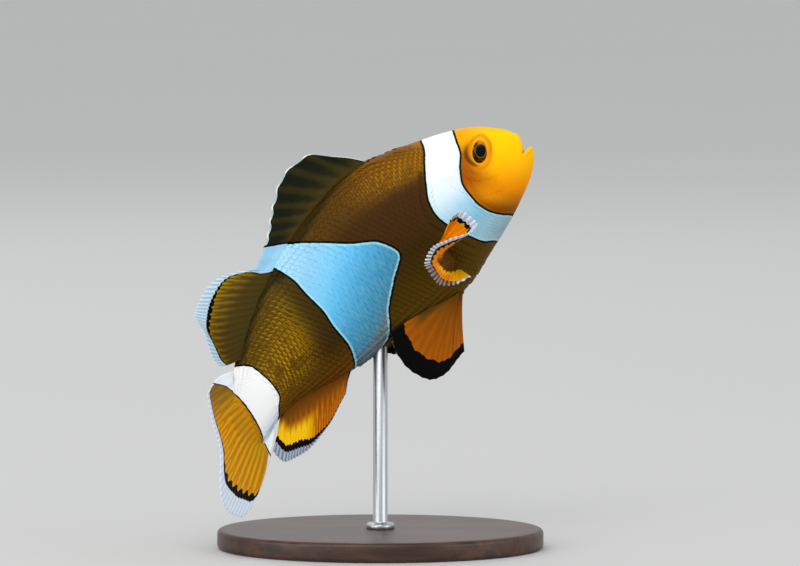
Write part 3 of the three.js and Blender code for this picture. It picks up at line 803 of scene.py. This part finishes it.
def growScales(name, point, attributes, shape, tree):
    roots = bpy.data.meshes.new(name + "_roots")
    roots.from_pydata(point.tolist(), [], [])
    for key, values in attributes.items():
        setAttributes(roots, {key: values}, "FLOAT" if values.ndim == 1 else "FLOAT_VECTOR")
    grower = addObject(name + "_roots", roots)
    modifier = grower.modifiers.new("scales", "NODES")
    modifier.node_group = tree
    given = {"Scale": shape, "Size": 1.0, "Jitter": 0.02, "Finish": scaleMaterial}
    for item in tree.interface.items_tree:
        if item.in_out == "INPUT" and item.name in given:
            modifier[item.identifier] = given[item.name]
    depsgraph = bpy.context.evaluated_depsgraph_get()
    mesh = bpy.data.meshes.new_from_object(
        grower.evaluated_get(depsgraph), preserve_all_data_layers=True, depsgraph=depsgraph)
    mesh.name = name
    bpy.data.objects.remove(grower)
    return mesh


def sunkDepth(station, marks):  # millimetres
    sunk = scales["sunkHead"] * ramp(0.24, 0.15, station)
    sunk = np.maximum(sunk, scales["sunkPlain"] * (1 - marks["gold"]))
    sunk = np.maximum(sunk, scales["sunkBelly"] * ramp(0.14, 0.04, marks["share"]))
    for bar, amount in scales["sunkBars"].items():
        sunk = np.maximum(sunk, amount * ramp(-0.2, 0.6, marks[bar]))
    return sunk


def addBakeMap(mesh, flat, station, share):  # each scale is a small patch at its root's place on the flank
    patch = scales["bakePatch"] / scales["pitchAlong"]
    margin = scales["bakeMargin"]
    unrolled = np.stack([(station - scales["from"]) / (scales["to"] - scales["from"]), share], -1)
    unrolled = margin + (1 - 2 * margin) * unrolled
    corner = (unrolled[:, None, :] + patch * flat).reshape(-1, 2)
    loops = np.empty(len(mesh.loops), np.int32)
    mesh.loops.foreach_get("vertex_index", loops)
    bakeMap = mesh.uv_layers.new(name="OFBake")
    bakeMap.data.foreach_set("uv", corner[loops].astype(np.float32).ravel())


def buildScales(name, side, shape, tree):
    station, turn, share = scaleRoots(side).T
    _, _, height = section(station, turn)
    point, outward, tailward = onBody(station, turn)
    coat = body["coatDepth"] * ramp(0.1, 0.2, station)
    relief = headRelief(station, height)[0] - sunkDepth(station, markings(station, height))
    point = point + outward * (relief * mm - coat)[:, None]
    mesh = growScales(name, point, {
        "outward": outward, "tailward": tailward, "size": scaleSize(station)}, shape, tree)
    each = len(mesh.vertices) // len(station)
    corners = np.empty(len(mesh.vertices) * 3, np.float32)
    mesh.vertices.foreach_get("co", corners)
    offset = corners.reshape(len(station), each, 3) - point[:, None, :]
    ahead, back, _ = spineAxes(station)
    ahead, back = ahead @ leaning.T, back @ leaning.T
    ownStation = station[:, None] - (offset @ ahead[:, :, None])[..., 0] / body["length"]
    ownHeight = height[:, None] + (offset @ back[:, :, None])[..., 0] / body["length"]
    marks = markings(ownStation, ownHeight)
    marks["gold"] = np.repeat(marks["gold"].mean(1), each)
    setAttributes(mesh, marks)
    sideways = np.cross(outward, tailward)
    flat = np.stack([(offset * axis[:, None, :]).sum(-1) for axis in (tailward, sideways)], -1)
    addBakeMap(mesh, flat, station, share)
    ridePiece(addObject(name, mesh))
    print(f"{name}: {len(station)} scales, {triangleCount(mesh)} triangles")


scaleShape = buildScaleShape()
scaleRows = scaleTree()
buildScales("scales_right", 1, scaleShape, scaleRows)
buildScales("scales_left", -1, scaleShape, scaleRows)
bpy.data.objects.remove(scaleShape)


# Eyes

def eyeMaterial():
    # Cast glass eye: black pupil in a thin gold ring, a dark iris flecked with gold, hard clear gloss.
    material, tree = newMaterial("cast glass eye")
    fields = {key: addNode(tree, "ShaderNodeAttribute", {"attribute_name": key}).outputs["Fac"] for key in (
        "pupil", "under", "behind")}
    fields["reach"] = wobbled(tree, fields["pupil"], 0.03, 1100.0)
    place3 = addNode(tree, "ShaderNodeTexCoord").outputs["Object"]
    fields["flecks"] = addNode(tree, "ShaderNodeTexNoise", sockets={
        "Vector": place3, "Scale": 3200.0, "Detail": 3.0}).outputs["Fac"]
    colour = graded(tree, fields["reach"], 0.8, 2.0, [
        (0.0, "#010101"), (0.17, "#020202"), (0.2, "#4a2c04"), (0.24, "#a06804"), (0.34, "#b87604"),
        (0.5, "#d88c02"), (0.75, "#f0a402")])
    colour = layered(tree, fields, colour, [
        ("#7a4a06", 0.6, [("flecks", 0.48, 0.58), ("reach", 1.12, 1.2)]),
        # dark flecks of the iris, gathered on its rear and lower side as painted shade
        ("#1c1204", 0.95, [("behind", -0.02, 0.3), ("flecks", 0.3, 0.46), ("reach", 1.1, 1.2)]),
        ("#1c1204", 0.95, [("under", 0.0, 0.35), ("flecks", 0.66, 0.54), ("reach", 1.1, 1.2)]),
    ])
    shader = addNode(tree, "ShaderNodeBsdfPrincipled", sockets={
        "Base Color": colour, "Roughness": 0.14, "IOR": 1.5, "Specular IOR Level": 0.14})
    addNode(tree, "ShaderNodeOutputMaterial", sockets={"Surface": shader.outputs[0]})
    return material


glassEye = eyeMaterial()


def buildEye(name, side, node):
    polar, around = np.meshgrid(np.linspace(0, math.pi, eye["rows"] + 2)[1:-1],
                                fullTurn(eye["around"]), indexing="ij")
    ringed = [np.sin(polar) * np.cos(around), np.cos(polar), np.sin(polar) * np.sin(around)]
    poles = ((0.0, 1.0, 0.0), (0.0, -1.0, 0.0))
    ds, out, dz = (np.concatenate([a.ravel(), [poles[0][k], poles[1][k]]]) for k, a in enumerate(ringed))
    flank = flankAt(eye["station"], eye["height"]) + eye["standOut"] - eye["depth"]
    points = place(eye["station"] + ds * eye["radius"], side * (flank + out * eye["depth"]),
                   eye["height"] + dz * eye["radius"])
    above, behind = eyeCoordinates(eye["station"] + ds * eye["radius"], eye["height"] + dz * eye["radius"])
    pupil = np.hypot(above / eye["pupilHigh"], (behind + 0.001) / eye["pupilWide"])
    pupil = np.where(out > 0, np.minimum(pupil, 2.0), 2.0)
    faces = ringFaces(eye["rows"], eye["around"])
    if side > 0:
        faces = [face[::-1] for face in faces]
    makePiece(name, points, faces, glassEye, (node,),
              {"pupil": pupil, "under": -above / eye["radius"], "behind": behind / eye["radius"]})


buildEye("glass_eye_right", 1, "eye_right")
buildEye("glass_eye_left", -1, "eye_left")


# Fins

web = {
    "root": 0.9 * mm,         # thickness where a fin leaves the body
    "pairedRoot": 0.45 * mm,  # the same for the paired fins
    "edge": 0.2 * mm,         # and at its margin
    "ray": 0.16 * mm,         # how far a ray stands out of the web, on each side
    "buried": 0.014,          # how far the roots run into the body
    "standOff": 0.39 * mm,    # how far an unpaired fin's root stands off the body's outline
    "perRay": 12, "perBranchedRay": 16, "alongRay": 44,  # points of the mesh
    # How far painted edges wander, in the field's own measure, and how finely.
    "wander": {"ridge": (0.4, 900.0), "fringe": (0.06, 1400.0), "behindFront": (0.07, 1500.0),
               "tailBar": (0.05, 1500.0), "tip": (0.2, 900.0)},
}

finDefaults = {
    "side": 1, "branched": True, "slot": "fin_orange", "front": None, "rear": None, "zigzag": 0.0,
    "wave": 0.002, "relief": 1.0, "ragged": 0.12, "rayFrom": (0.05, 0.4), "layers": (),
    "shadedLowerFringe": None, "bar": None,
}
pectoral = {
    "kind": "paired", "root": [[0.306, -0.052], [0.318, -0.125]], "standOff": (0.8 * mm, 0.8 * mm),
    "buried": 0.025, "rays": 18,
}
pelvic = {
    "kind": "paired", "root": [[0.352, -0.193], [0.385, -0.178]], "standOff": (1.2 * mm, 0.1 * mm),
    "buried": 0.012, "rays": 6, "fringe": [[0, 0.0], [1, 0.0]], "comb": 0.002, "zigzag": 0.04,
    "ragged": 0.35, "relief": 0.5,
    "web": [(0.0, "#543a04"), (0.25, "#7a4202"), (0.6, "#985002"), (1.0, "#a85600")],
    "ray": "#a05402", "between": "#824602", "fringeColour": "#4a4a52", "hair": "#cfcfd8",
}

# Fans list place along the root, then lean (degrees) and length, or how far the tip lies towards the
# tail, the back and away from the flank. fringe and band are widths along the margin, in millimetres.
fins = {
    "dorsal_fin_spiny": {
        "kind": "median", "span": (0.318, 0.668), "rays": 10, "branched": False, "slot": "fin_dark",
        "fan": [[0, 20, -0.012], [0.06, 25, -0.01], [0.09, 30, 0.036], [0.19, 23, 0.099], [0.32, 30, 0.111],
                [0.48, 42, 0.091], [0.75, 50, 0.05], [0.96, 44, 0.036], [1, 38, 0.046]],
        "fringe": [[0, 0.2], [0.7, 0.24], [1, 0.3]], "band": [[0, 0], [0.5, 0.1], [1, 0.1]],
        # the middle bar's white goes on over the fin, painted pale blue as shade
        "comb": 0.004, "bar": ("behindFront", lacquer["line"], (-0.44, -0.3), "#98cae8"),
        "web": [(0.0, "#4a3a10"), (0.3, "#302b0f"), (0.6, "#1e1f0f"), (1.0, "#191b10")],
        "ray": "#37320f", "between": "#14160d", "fringeColour": "#a9bfbb", "hair": "#e8f4f2",
    },
    "dorsal_fin_soft": {
        "kind": "median", "span": (0.667, 0.905), "rays": 15, "slot": "fin_dark",
        "fan": [[0, 36, 0.042], [0.1, 35, 0.11], [0.3, 41, 0.158], [0.5, 46, 0.181],
                [0.72, 56, 0.202], [0.88, 64, 0.175], [1, 67, 0.112]],
        "fringe": [[0, 1.1], [0.12, 1.5], [0.25, 2.3], [0.5, 3.1], [0.8, 2.9], [1, 2.5]],
        "band": [[0, 0.3], [0.2, 0.5], [0.4, 1.0], [0.7, 0.95], [1, 0.6]],
        "front": (1.2, 0.3), "comb": 0.004, "zigzag": 0.22, "wave": 0.004,
        "web": [(0.0, "#423612"), (0.35, "#4c3c12"), (0.55, "#6a5010"), (0.75, "#9a760e"), (1.0, "#a8820e")],
        "ray": "#a87c0e", "between": "#40320c", "rayFrom": (0.25, 0.7),
        "fringeColour": "#a6c6da", "hair": "#d8e9f4",
    },
    "anal_fin": {
        "kind": "median", "span": (0.715, 0.915), "side": -1, "rays": 13,
        "fan": [[0, 58, 0.05], [0.3, 48, 0.099], [0.6, 44, 0.121], [0.85, 46, 0.113], [1, 60, 0.075]],
        "fringe": [[0, 0.2], [0.3, 0.25], [0.5, 0.6], [0.7, 1.5], [1, 1.9]],
        "band": [[0, 0.2], [0.3, 0.35], [0.5, 0.9], [0.7, 1.35], [1, 1.1]],
        "front": (0.22, 0.3), "comb": 0.003, "zigzag": 0.07, "wave": 0.003,
        "web": [(0.0, "#5a3606"), (0.2, "#7a4604"), (0.4, "#a45a02"), (0.75, "#c06a02"), (1.0, "#cc7602")],
        "ray": "#cc7002", "between": "#7c4604", "rayFrom": (0.2, 0.6),
        "fringeColour": "#8088a0", "hair": "#bcc6d4",
        "layers": [("#f49000", 0.7, [("tip", 7.6, 5.4), ("fan", 0.3, 0.5), ("ridge", 0.2, 0.9)]),
                   ("#ffca06", 1.0, [("tip", 6.6, 4.4), ("fan", 0.44, 0.64)])],
    },
    "caudal_fin": {
        "kind": "tail", "rays": tailRoot["rays"], "spread": 24, "droop": 6.5, "flare": 0.008,
        "forward": (0.045, 0.055), "forwardLift": (0.0, 0.026),
        "length": [[0, 0.128], [0.06, 0.192], [0.2, 0.201], [0.36, 0.193], [0.45, 0.199], [0.55, 0.234],
                   [0.64, 0.258], [0.75, 0.247], [0.87, 0.211], [0.94, 0.188], [1, 0.145]],
        "fringe": [[0, 1.1], [0.3, 1.2], [0.45, 1.3], [0.56, 2.0], [0.66, 3.6], [0.76, 4.4], [0.9, 4.0],
                   [1, 3.0]],
        "band": [[0, 0.2], [0.3, 0.3], [0.5, 0.6], [0.62, 1.6], [0.8, 1.9], [1, 1.6]],
        "front": (1.0, 0.2), "rear": (0.5, 0.0), "comb": 0.003, "zigzag": 0.3,
        "bar": ("tailBar", "#2a1430", (-0.32, -0.22), "#f6fbff"),
        "web": [(0.0, "#bc8e10"), (0.35, "#d09206"), (0.6, "#dc9602"), (1.0, "#f0a000")],
        "ray": "#fcb00c", "between": "#a87004", "fringeColour": "#d0dcee", "hair": "#e6eef8",
        "layers": [("#6e5618", 0.8, [("fan", 0.34, 0.04)])],
    },
    "pectoral_fin_right": {
        **pectoral,
        "fan": [[0, -0.071, 0.035, 0.144], [0.07, -0.096, 0.039, 0.158], [0.2, -0.119, -0.001, 0.184],
                [0.27, -0.102, -0.002, 0.19], [0.4, -0.033, 0.026, 0.205], [0.53, 0.02, 0.046, 0.21],
                [0.67, 0.06, 0.036, 0.2], [0.8, 0.063, -0.002, 0.18], [0.94, 0.017, -0.031, 0.155],
                [1, -0.026, -0.035, 0.14]],
        "fringe": [[0, 2.0], [0.15, 2.4], [0.3, 2.6], [0.42, 2.6], [0.52, 3.0], [0.7, 3.2], [0.82, 2.8],
                   [0.92, 1.2], [1, 0.7]],
        "band": [[0, 0.7], [0.08, 1.4], [0.22, 1.5], [0.34, 3.4], [0.46, 3.0], [0.58, 1.8], [0.7, 0.7],
                 [0.8, 0.25], [1, 0.1]],
        "comb": 0.009, "zigzag": 0.35, "wave": 0.0,
        "web": [(0.0, "#f89402"), (0.4, "#ff9e00"), (1.0, "#ffa400")],
        "ray": "#ffac04", "between": "#f48e00", "fringeColour": "#b8c4d6", "hair": "#eef2fa",
        "shadedLowerFringe": ("#80665c", "#38260e"),
        "layers": [("#f88400", 0.5, [("fan", 0.26, 0.34)]),
                   # painted shade: dark brown on the cupped inner face of the fin, towards its base
                   ("#5e3c04", 1.0, [("tip", 9.4, 10.8), ("fan", 0.26, 0.34)]),
                   ("#5e3c04", 1.0, [("tip", 6.6, 7.6), ("fan", 0.5, 0.68)]),
                   ("#ffc800", 1.0, [("tip", 7.4, 6.4), ("tip", 4.8, 5.6), ("fan", 0.68, 0.74)]),
                   ("#ffc800", 1.0, [("tip", 7.4, 6.4), ("fan", 0.87, 0.93)])],
    },
    "pectoral_fin_left": {
        **pectoral, "side": -1,
        "fan": [[0, 0.05, 0.06, 0.12], [0.3, 0.12, 0.035, 0.165], [0.6, 0.15, -0.02, 0.15],
                [1, 0.09, -0.07, 0.1]],
        "fringe": [[0, 0.8], [0.5, 1.1], [1, 0.8]], "band": [[0, 0.5], [0.5, 0.8], [1, 0.5]],
        "front": (0.15, 0.2), "comb": 0.006, "zigzag": 0.5, "wave": 0.003,
        "web": [(0.0, "#8a4c04"), (0.4, "#d87804"), (1.0, "#ff9a04")],
        "ray": "#f49208", "between": "#b05c02", "fringeColour": "#77737f", "hair": "#f0effa",
    },
    "pelvic_fin_right": {
        **pelvic,
        "fan": [[0, 0.099, -0.105, 0.045], [0.25, 0.165, -0.116, 0.055], [0.5, 0.219, -0.0975, 0.055],
                [0.7, 0.232, -0.0505, 0.05], [0.85, 0.218, 0.001, 0.042], [1, 0.183, 0.043, 0.032]],
        "band": [[0, 1.5], [0.25, 2.3], [0.55, 3.5], [0.8, 3.4], [1, 2.8]],
        "layers": [("#4c3604", 0.95, [("fan", 0.78, 0.98), ("tip", 4.0, 7.0)])],
    },
    "pelvic_fin_left": {
        **pelvic, "side": -1,
        "fan": [[0, 0.13, -0.05, 0.045], [0.3, 0.2, -0.034, 0.055], [0.6, 0.23, -0.007, 0.055],
                [0.8, 0.222, 0.016, 0.045], [1, 0.194, 0.028, 0.032]],
        "band": [[0, 1.4], [0.25, 2.2], [0.6, 3.2], [1, 2.4]],
    },
}


def finLines(fin, u, t):  # straight-fish points at a share across the fan and a share out along the ray
    combed = fin["comb"] * (rayTeeth(fin, u, 1.0) - 0.5)
    if fin["kind"] == "median":
        tilt, length = np.moveaxis(curve(fin["fan"])(u), -1, 0)
        angle = np.radians(tilt)
        station = fin["span"][0] + (fin["span"][1] - fin["span"][0]) * u
        out = -web["buried"] + (length + combed + web["buried"]) * t
        root = backLine(station) if fin["side"] > 0 else bellyLine(station)
        return (station + out * np.sin(angle), fin["wave"] * np.sin(9 * u) * np.maximum(t, 0) ** 2,
                root + fin["side"] * (web["standOff"] / body["length"] + out * np.cos(angle)))
    if fin["kind"] == "paired":
        rearward, up, away = np.moveaxis(curve(fin["fan"])(u), -1, 0)
        (s0, z0), (s1, z1) = fin["root"]
        station, height = s0 + (s1 - s0) * u, z0 + (z1 - z0) * u
        standOff = fin["standOff"][0] * (1 - u) + fin["standOff"][1] * u
        flank = flankAt(station, height) + standOff / body["length"]
        length = np.sqrt(rearward ** 2 + up ** 2 + away ** 2)
        buried = fin["buried"] / length
        out = -buried + (1 + buried + combed / length) * t
        return (station + out * rearward, fin["side"] * (flank + out * away),
                height + out * up + fin["wave"] * np.sin(11 * u) * np.maximum(t, 0) ** 2)
    across = 1 - 2 * u
    edge = np.abs(across) ** 14
    forward = np.where(across > 0, fin["forward"][0], fin["forward"][1]) * edge
    lifted = np.where(across > 0, fin["forwardLift"][0], fin["forwardLift"][1]) * edge * (1 - t) ** 3
    angle = np.radians(fin["spread"] * across - fin["droop"])
    length = curve(fin["length"])(u) + combed
    root = tailRoot["middle"] + across * tailRoot["half"] + lifted
    start = 1 - forward
    station = start + (1 + length * np.cos(angle) - start) * t
    bow = fin["flare"] * across * np.abs(across) * np.sin(np.pi * t)
    return station, 0 * t, root + t * length * np.sin(angle) + bow


def rayTeeth(fin, u, t):  # 1 on a ray and 0 between two; the outer halves of branched rays are doubled
    single = 0.5 + 0.5 * np.cos(2 * np.pi * fin["rays"] * u)
    double = 0.5 + 0.5 * np.cos(4 * np.pi * fin["rays"] * u)
    share = ramp(0.45, 0.75, t) if fin["branched"] else 0.0
    return (single * (1 - share) + double * share) ** 1.5


def finMaterial(name, fin):
    # Thin cast resin web, sprayed and lacquered: rays catch the light, the margin is paler.
    material, tree = newMaterial("painted resin " + name.replace("_", " "))
    fields = {key: addNode(tree, "ShaderNodeAttribute", {"attribute_name": key}).outputs["Fac"] for key in (
        "behindFront", "tailBar", "fringe", "core", "ridge", "reach", "fan", "tip")}
    for key, (amount, scale) in {**web["wander"], "core": (fin["ragged"], 1400.0)}.items():
        fields[key] = wobbled(tree, fields[key], amount, scale)
    colour = layered(tree, fields, graded(tree, fields["reach"], 0, 1, fin["web"]), [
        (fin["ray"], 0.5, [("ridge", 0.3, 1.0), ("reach", *fin["rayFrom"])]),
        (fin["between"], 0.6, [("ridge", 0.5, 0.0), ("reach", 0.0, 0.3)]),
        *fin["layers"],
        (lacquer["line"], 1.0, [("core", 0.05, -0.05)]),
    ])
    pale = layered(tree, fields, paint(fin["fringeColour"]), [(fin["hair"], 0.9, [("ridge", 0.2, 0.65)])])
    if fin["shadedLowerFringe"]:  # painted shade on the lower, folded fringe, with dark gaps where the shaded body shows between the hairs
        shade, gap = fin["shadedLowerFringe"]
        pale = layered(tree, fields, pale, [
            (shade, 0.85, [("fan", 0.62, 0.72), ("fan", 0.97, 0.9)]),
            (gap, 0.85, [("ridge", 0.35, 0.05), ("fan", 0.48, 0.58), ("fan", 0.97, 0.92)])])
    colour = layered(tree, fields, colour, [(pale, 1.0, [("fringe", 0.04, -0.04)])])
    if fin["bar"]:  # a bar of the body that goes on over the fin, behind its dark line
        field, line, lineDepth, white = fin["bar"]
        colour = layered(tree, fields, colour, [
            (line, 1.0, [(field, *lineDepth)]), (white, 1.0, [(field, -0.05, 0.05)])])
    lacquerOver(tree, colour, 2200.0, 0.15, 0.05)
    return material


def margins(fin, u, t, middle):  # millimetres from the tip, inside the pale fringe and inside the dark band
    rayStep = np.linalg.norm(np.diff(middle, axis=1), axis=-1) / mm
    fromRoot = np.concatenate([np.zeros((len(u), 1)), np.cumsum(rayStep, axis=1)], axis=1)
    tip = fromRoot[:, -1:] - fromRoot
    fanStep = np.linalg.norm(np.diff(middle, axis=0), axis=-1) / mm
    fromFront = np.concatenate([np.zeros((1, u.shape[1])), np.cumsum(fanStep, axis=0)])
    fringe = tip - curve(fin["fringe"])(u)
    dark = curve(fin["band"])(u) * (1 + 2 * fin["zigzag"] * (rayTeeth(fin, u, 0) - 0.5))
    core = fringe - dark
    for key, gap in (("front", fromFront), ("rear", fromFront[-1:] - fromFront)):
        if fin[key]:
            pale, dark = fin[key]
            pale = pale * (ramp(0.05, 0.4, t) if key == "front" else 1 + 2.6 * ramp(0.5, 0.05, t))
            fringe = np.minimum(fringe, gap - pale)
            core = np.minimum(core, gap - pale - dark)
    return tip, fringe, core


def buildFin(name, fin):
    wide = fin["rays"] * web["perBranchedRay" if fin["branched"] else "perRay"] + 1
    deep = web["alongRay"]
    u, t = np.meshgrid(np.linspace(0, 1, wide), np.linspace(0, 1, deep), indexing="ij")
    station, y, height = finLines(fin, u, t)
    middle = place(station, y, height)
    normal = unit(np.cross(np.gradient(middle, axis=0), np.gradient(middle, axis=1)))
    ridge = rayTeeth(fin, u, t)
    thick = web["pairedRoot" if fin["kind"] == "paired" else "root"]
    half = 0.5 * (thick + (web["edge"] - thick) * ramp(0, 0.5, t))
    half = half + web["ray"] * fin["relief"] * ridge * ramp(0, 0.12, t) * (1 - 0.75 * t)
    half = half * (1 - 0.55 * ramp(0.93, 1, t))
    points = np.concatenate([middle + normal * half[..., None], middle - normal * half[..., None]])
    tip, fringe, core = margins(fin, u, t, middle)
    marks = {"behindFront": edgeDistance(midBarFront, station, height),
             "tailBar": barDepth("tailBar", station, height), "fringe": fringe, "core": core,
             "ridge": ridge, "reach": t, "fan": u, "tip": tip + ridge - 0.5}
    marks = {key: np.concatenate([v.ravel(), v.ravel()]) for key, v in marks.items()}
    makePiece(name.replace("fin", "web"), points, sheetFaces(wide, deep), finMaterial(name, fin),
              (name,), marks)


for finName, fin in fins.items():
    buildFin(finName, {**finDefaults, **fin})


# Stand

stand = {
    "length": 58 * mm, "depth": 42 * mm, "height": 3.5 * mm, "round": 0.8 * mm, "sides": 192,
    "rodRadius": 1.3 * mm, "rodFoot": 3.2 * mm, "rodTop": 37.6 * mm,
    "collarRadius": 2.5 * mm, "collarHeight": 1.0 * mm, "soft": 0.3 * mm, "rodSides": 64,
}


def woodMaterial():
    # Walnut, stained dark and oiled: long brown figure along the base, fine open pores, satin.
    material, tree = newMaterial("stained walnut")
    place3 = addNode(tree, "ShaderNodeTexCoord").outputs["Object"]
    stretched = addNode(tree, "ShaderNodeMapping", sockets={
        "Vector": place3, "Scale": (1.0, 9.0, 9.0)}).outputs[0]
    figure = addNode(tree, "ShaderNodeTexNoise", sockets={
        "Vector": stretched, "Scale": 26.0, "Detail": 5.0, "Distortion": 1.2})
    colour = addNode(tree, "ShaderNodeValToRGB", {"stops": [
        (0.28, "#1d0f08"), (0.45, "#3a2113"), (0.6, "#4f3020"), (0.75, "#2a170d")]},
        {0: figure.outputs["Fac"]}).outputs[0]
    pores = addNode(tree, "ShaderNodeTexNoise", sockets={
        "Vector": addNode(tree, "ShaderNodeMapping", sockets={
            "Vector": place3, "Scale": (1.0, 14.0, 14.0)}).outputs[0], "Scale": 320.0, "Detail": 2.0})
    colour = layered(tree, {"pores": pores.outputs["Fac"]}, colour, [
        ("#120905", 0.6, [("pores", 0.42, 0.3)])])
    bump = addNode(tree, "ShaderNodeBump", sockets={
        "Strength": 0.35, "Distance": 0.06 * mm, "Height": pores.outputs["Fac"]})
    shader = addNode(tree, "ShaderNodeBsdfPrincipled", sockets={
        "Base Color": colour, "Roughness": 0.38, "IOR": 1.5, "Normal": bump.outputs[0]})
    addNode(tree, "ShaderNodeOutputMaterial", sockets={"Surface": shader.outputs[0]})
    return material


def steelMaterial():
    # Stainless steel rod, brushed along its length: streaked grey highlights. The strokes are drawn
    # coarser than real ones, so that they show.
    material, tree = newMaterial("brushed stainless steel")
    place3 = addNode(tree, "ShaderNodeTexCoord").outputs["Object"]
    brushed = addNode(tree, "ShaderNodeMapping", sockets={
        "Vector": place3, "Scale": (1.0, 1.0, 0.03)}).outputs[0]
    strokes = addNode(tree, "ShaderNodeTexNoise", sockets={
        "Vector": brushed, "Scale": 5000.0, "Detail": 3.0}).outputs["Fac"]
    rough = addNode(tree, "ShaderNodeMapRange", sockets={
        "Value": strokes, "To Min": 0.22, "To Max": 0.42}).outputs[0]
    bump = addNode(tree, "ShaderNodeBump", sockets={
        "Strength": 0.2, "Distance": 0.02 * mm, "Height": strokes})
    shader = addNode(tree, "ShaderNodeBsdfPrincipled", sockets={
        "Base Color": paint("#b9bcc0"), "Metallic": 1.0, "Roughness": rough, "Normal": bump.outputs[0]})
    addNode(tree, "ShaderNodeOutputMaterial", sockets={"Surface": shader.outputs[0]})
    return material


def turned(name, rings, around, material, node):  # rings list the half axes and the height
    turns = fullTurn(around)
    points = [np.stack([a * np.cos(turns), b * np.sin(turns), np.full(around, z)], -1) for a, b, z in rings]
    ends = [[0, 0, rings[0][2]], [0, 0, rings[-1][2]]]
    makePiece(name, np.vstack([*points, ends]), ringFaces(len(rings), around), material, (node,))


def buildStand():
    r, high = stand["round"], stand["height"]
    quarter = [(r * (1 - math.sin(a)), r * (1 - math.cos(a))) for a in np.linspace(0, math.pi / 2, 9)]
    profile = [(4 * r, 0.0)] + quarter + [(inset, high - z) for inset, z in quarter[::-1]] + [(4 * r, high)]
    rings = [(stand["length"] / 2 - inset, stand["depth"] / 2 - inset, z) for inset, z in profile]
    turned("walnut_base", rings, stand["sides"], woodMaterial(), "stand_base")
    collar, radius, foot = stand["collarRadius"], stand["rodRadius"], stand["rodFoot"]
    top = stand["height"] + stand["collarHeight"]
    soft = stand["soft"]
    profile = [(collar, foot), (collar, top - soft), (collar - 0.3 * soft, top - 0.25 * soft),
               (collar - soft, top), (radius + soft, top), (radius + 0.3 * soft, top + 0.25 * soft),
               (radius, top + soft), (radius, stand["rodTop"] - soft), (radius - soft, stand["rodTop"])]
    rings = [(a, a, z) for a, z in profile]
    turned("steel_rod", rings, stand["rodSides"], steelMaterial(), "stand_rod")


buildStand()


# Studio: floor, light and camera

studio = {
    "pixel": 0.1765 * mm,      # at the fish
    "frame": (800, 566),
    "snoutAt": (534.5, 157),   # where the snout lies in the frame
    "elevation": 4.5, "distance": 900 * mm, "sensor": 36,
    "floor": "#cfcfcd", "floorRadius": 60.0, "floorSides": 96, "sky": "#f2f4f6", "world": 0.82,
    "lightsAimAt": (0, 0, 0.045),
    "lights": (("key", (-0.2, -0.7, 0.75), 0.6, 2.6), ("fill right", (0.85, -0.55, 0.15), 0.7, 2.5),
               ("fill left", (-0.75, -0.6, 0.15), 0.7, 3.6), ("rim", (-0.2, 0.7, 0.7), 0.5, 1.2)),
}


def buildFloor():
    material, tree = newMaterial("matt studio floor")
    place3 = addNode(tree, "ShaderNodeTexCoord").outputs["Object"]
    mottle = addNode(tree, "ShaderNodeTexNoise", sockets={"Vector": place3, "Scale": 3.0})
    shade = layered(tree, {"mottle": mottle.outputs["Fac"]}, paint(studio["floor"]), [
        ("#c8c8c8", 0.08, [("mottle", 0.3, 0.7)])])
    shader = addNode(tree, "ShaderNodeBsdfPrincipled", sockets={
        "Base Color": shade, "Roughness": 0.9, "Specular IOR Level": 0.1})
    addNode(tree, "ShaderNodeOutputMaterial", sockets={"Surface": shader.outputs[0]})
    radius = studio["floorRadius"]
    corners = [(radius * math.cos(a), radius * math.sin(a), 0.0) for a in fullTurn(studio["floorSides"])]
    mesh = bpy.data.meshes.new("studio_floor")
    mesh.from_pydata(corners, [], [list(range(len(corners)))])
    mesh.materials.append(material)
    addObject("studio_floor", mesh)


def lightStudio():
    world = bpy.data.worlds.new("studio")
    bpy.context.scene.world = world
    world.use_nodes = True
    sky = world.node_tree.nodes["Background"]
    sky.inputs["Color"].default_value = paint(studio["sky"])
    sky.inputs["Strength"].default_value = studio["world"]
    target = Vector(studio["lightsAimAt"])
    for name, spot, size, power in studio["lights"]:
        light = bpy.data.lights.new(name, "AREA")
        light.size = size
        light.energy = power
        lamp = addObject(name, light)
        lamp.location = spot
        lamp.rotation_euler = (target - Vector(spot)).to_track_quat("-Z", "Y").to_euler()


def aimCamera():
    tilt = math.radians(studio["elevation"])
    forward = Vector((0, math.cos(tilt), -math.sin(tilt)))
    up = Vector((0, math.sin(tilt), math.cos(tilt)))
    wide, tall = studio["frame"]
    snout = Vector(place(0, 0, 0).tolist())
    right = (wide / 2 - studio["snoutAt"][0]) * studio["pixel"]
    higher = (studio["snoutAt"][1] - tall / 2) * studio["pixel"]
    middle = snout + Vector((right, 0, 0)) + up * higher
    camera = addObject("camera", bpy.data.cameras.new("camera"))
    camera.data.sensor_width = studio["sensor"]
    camera.data.lens = studio["sensor"] * studio["distance"] / (wide * studio["pixel"])
    camera.data.clip_start = 0.01
    camera.data.clip_end = 200
    camera.location = middle - forward * studio["distance"]
    camera.rotation_euler = forward.to_track_quat("-Z", "Y").to_euler()
    bpy.context.scene.camera = camera
    bpy.context.scene.view_settings.view_transform = "Standard"


buildFloor()
lightStudio()
aimCamera()
print("studio lit")
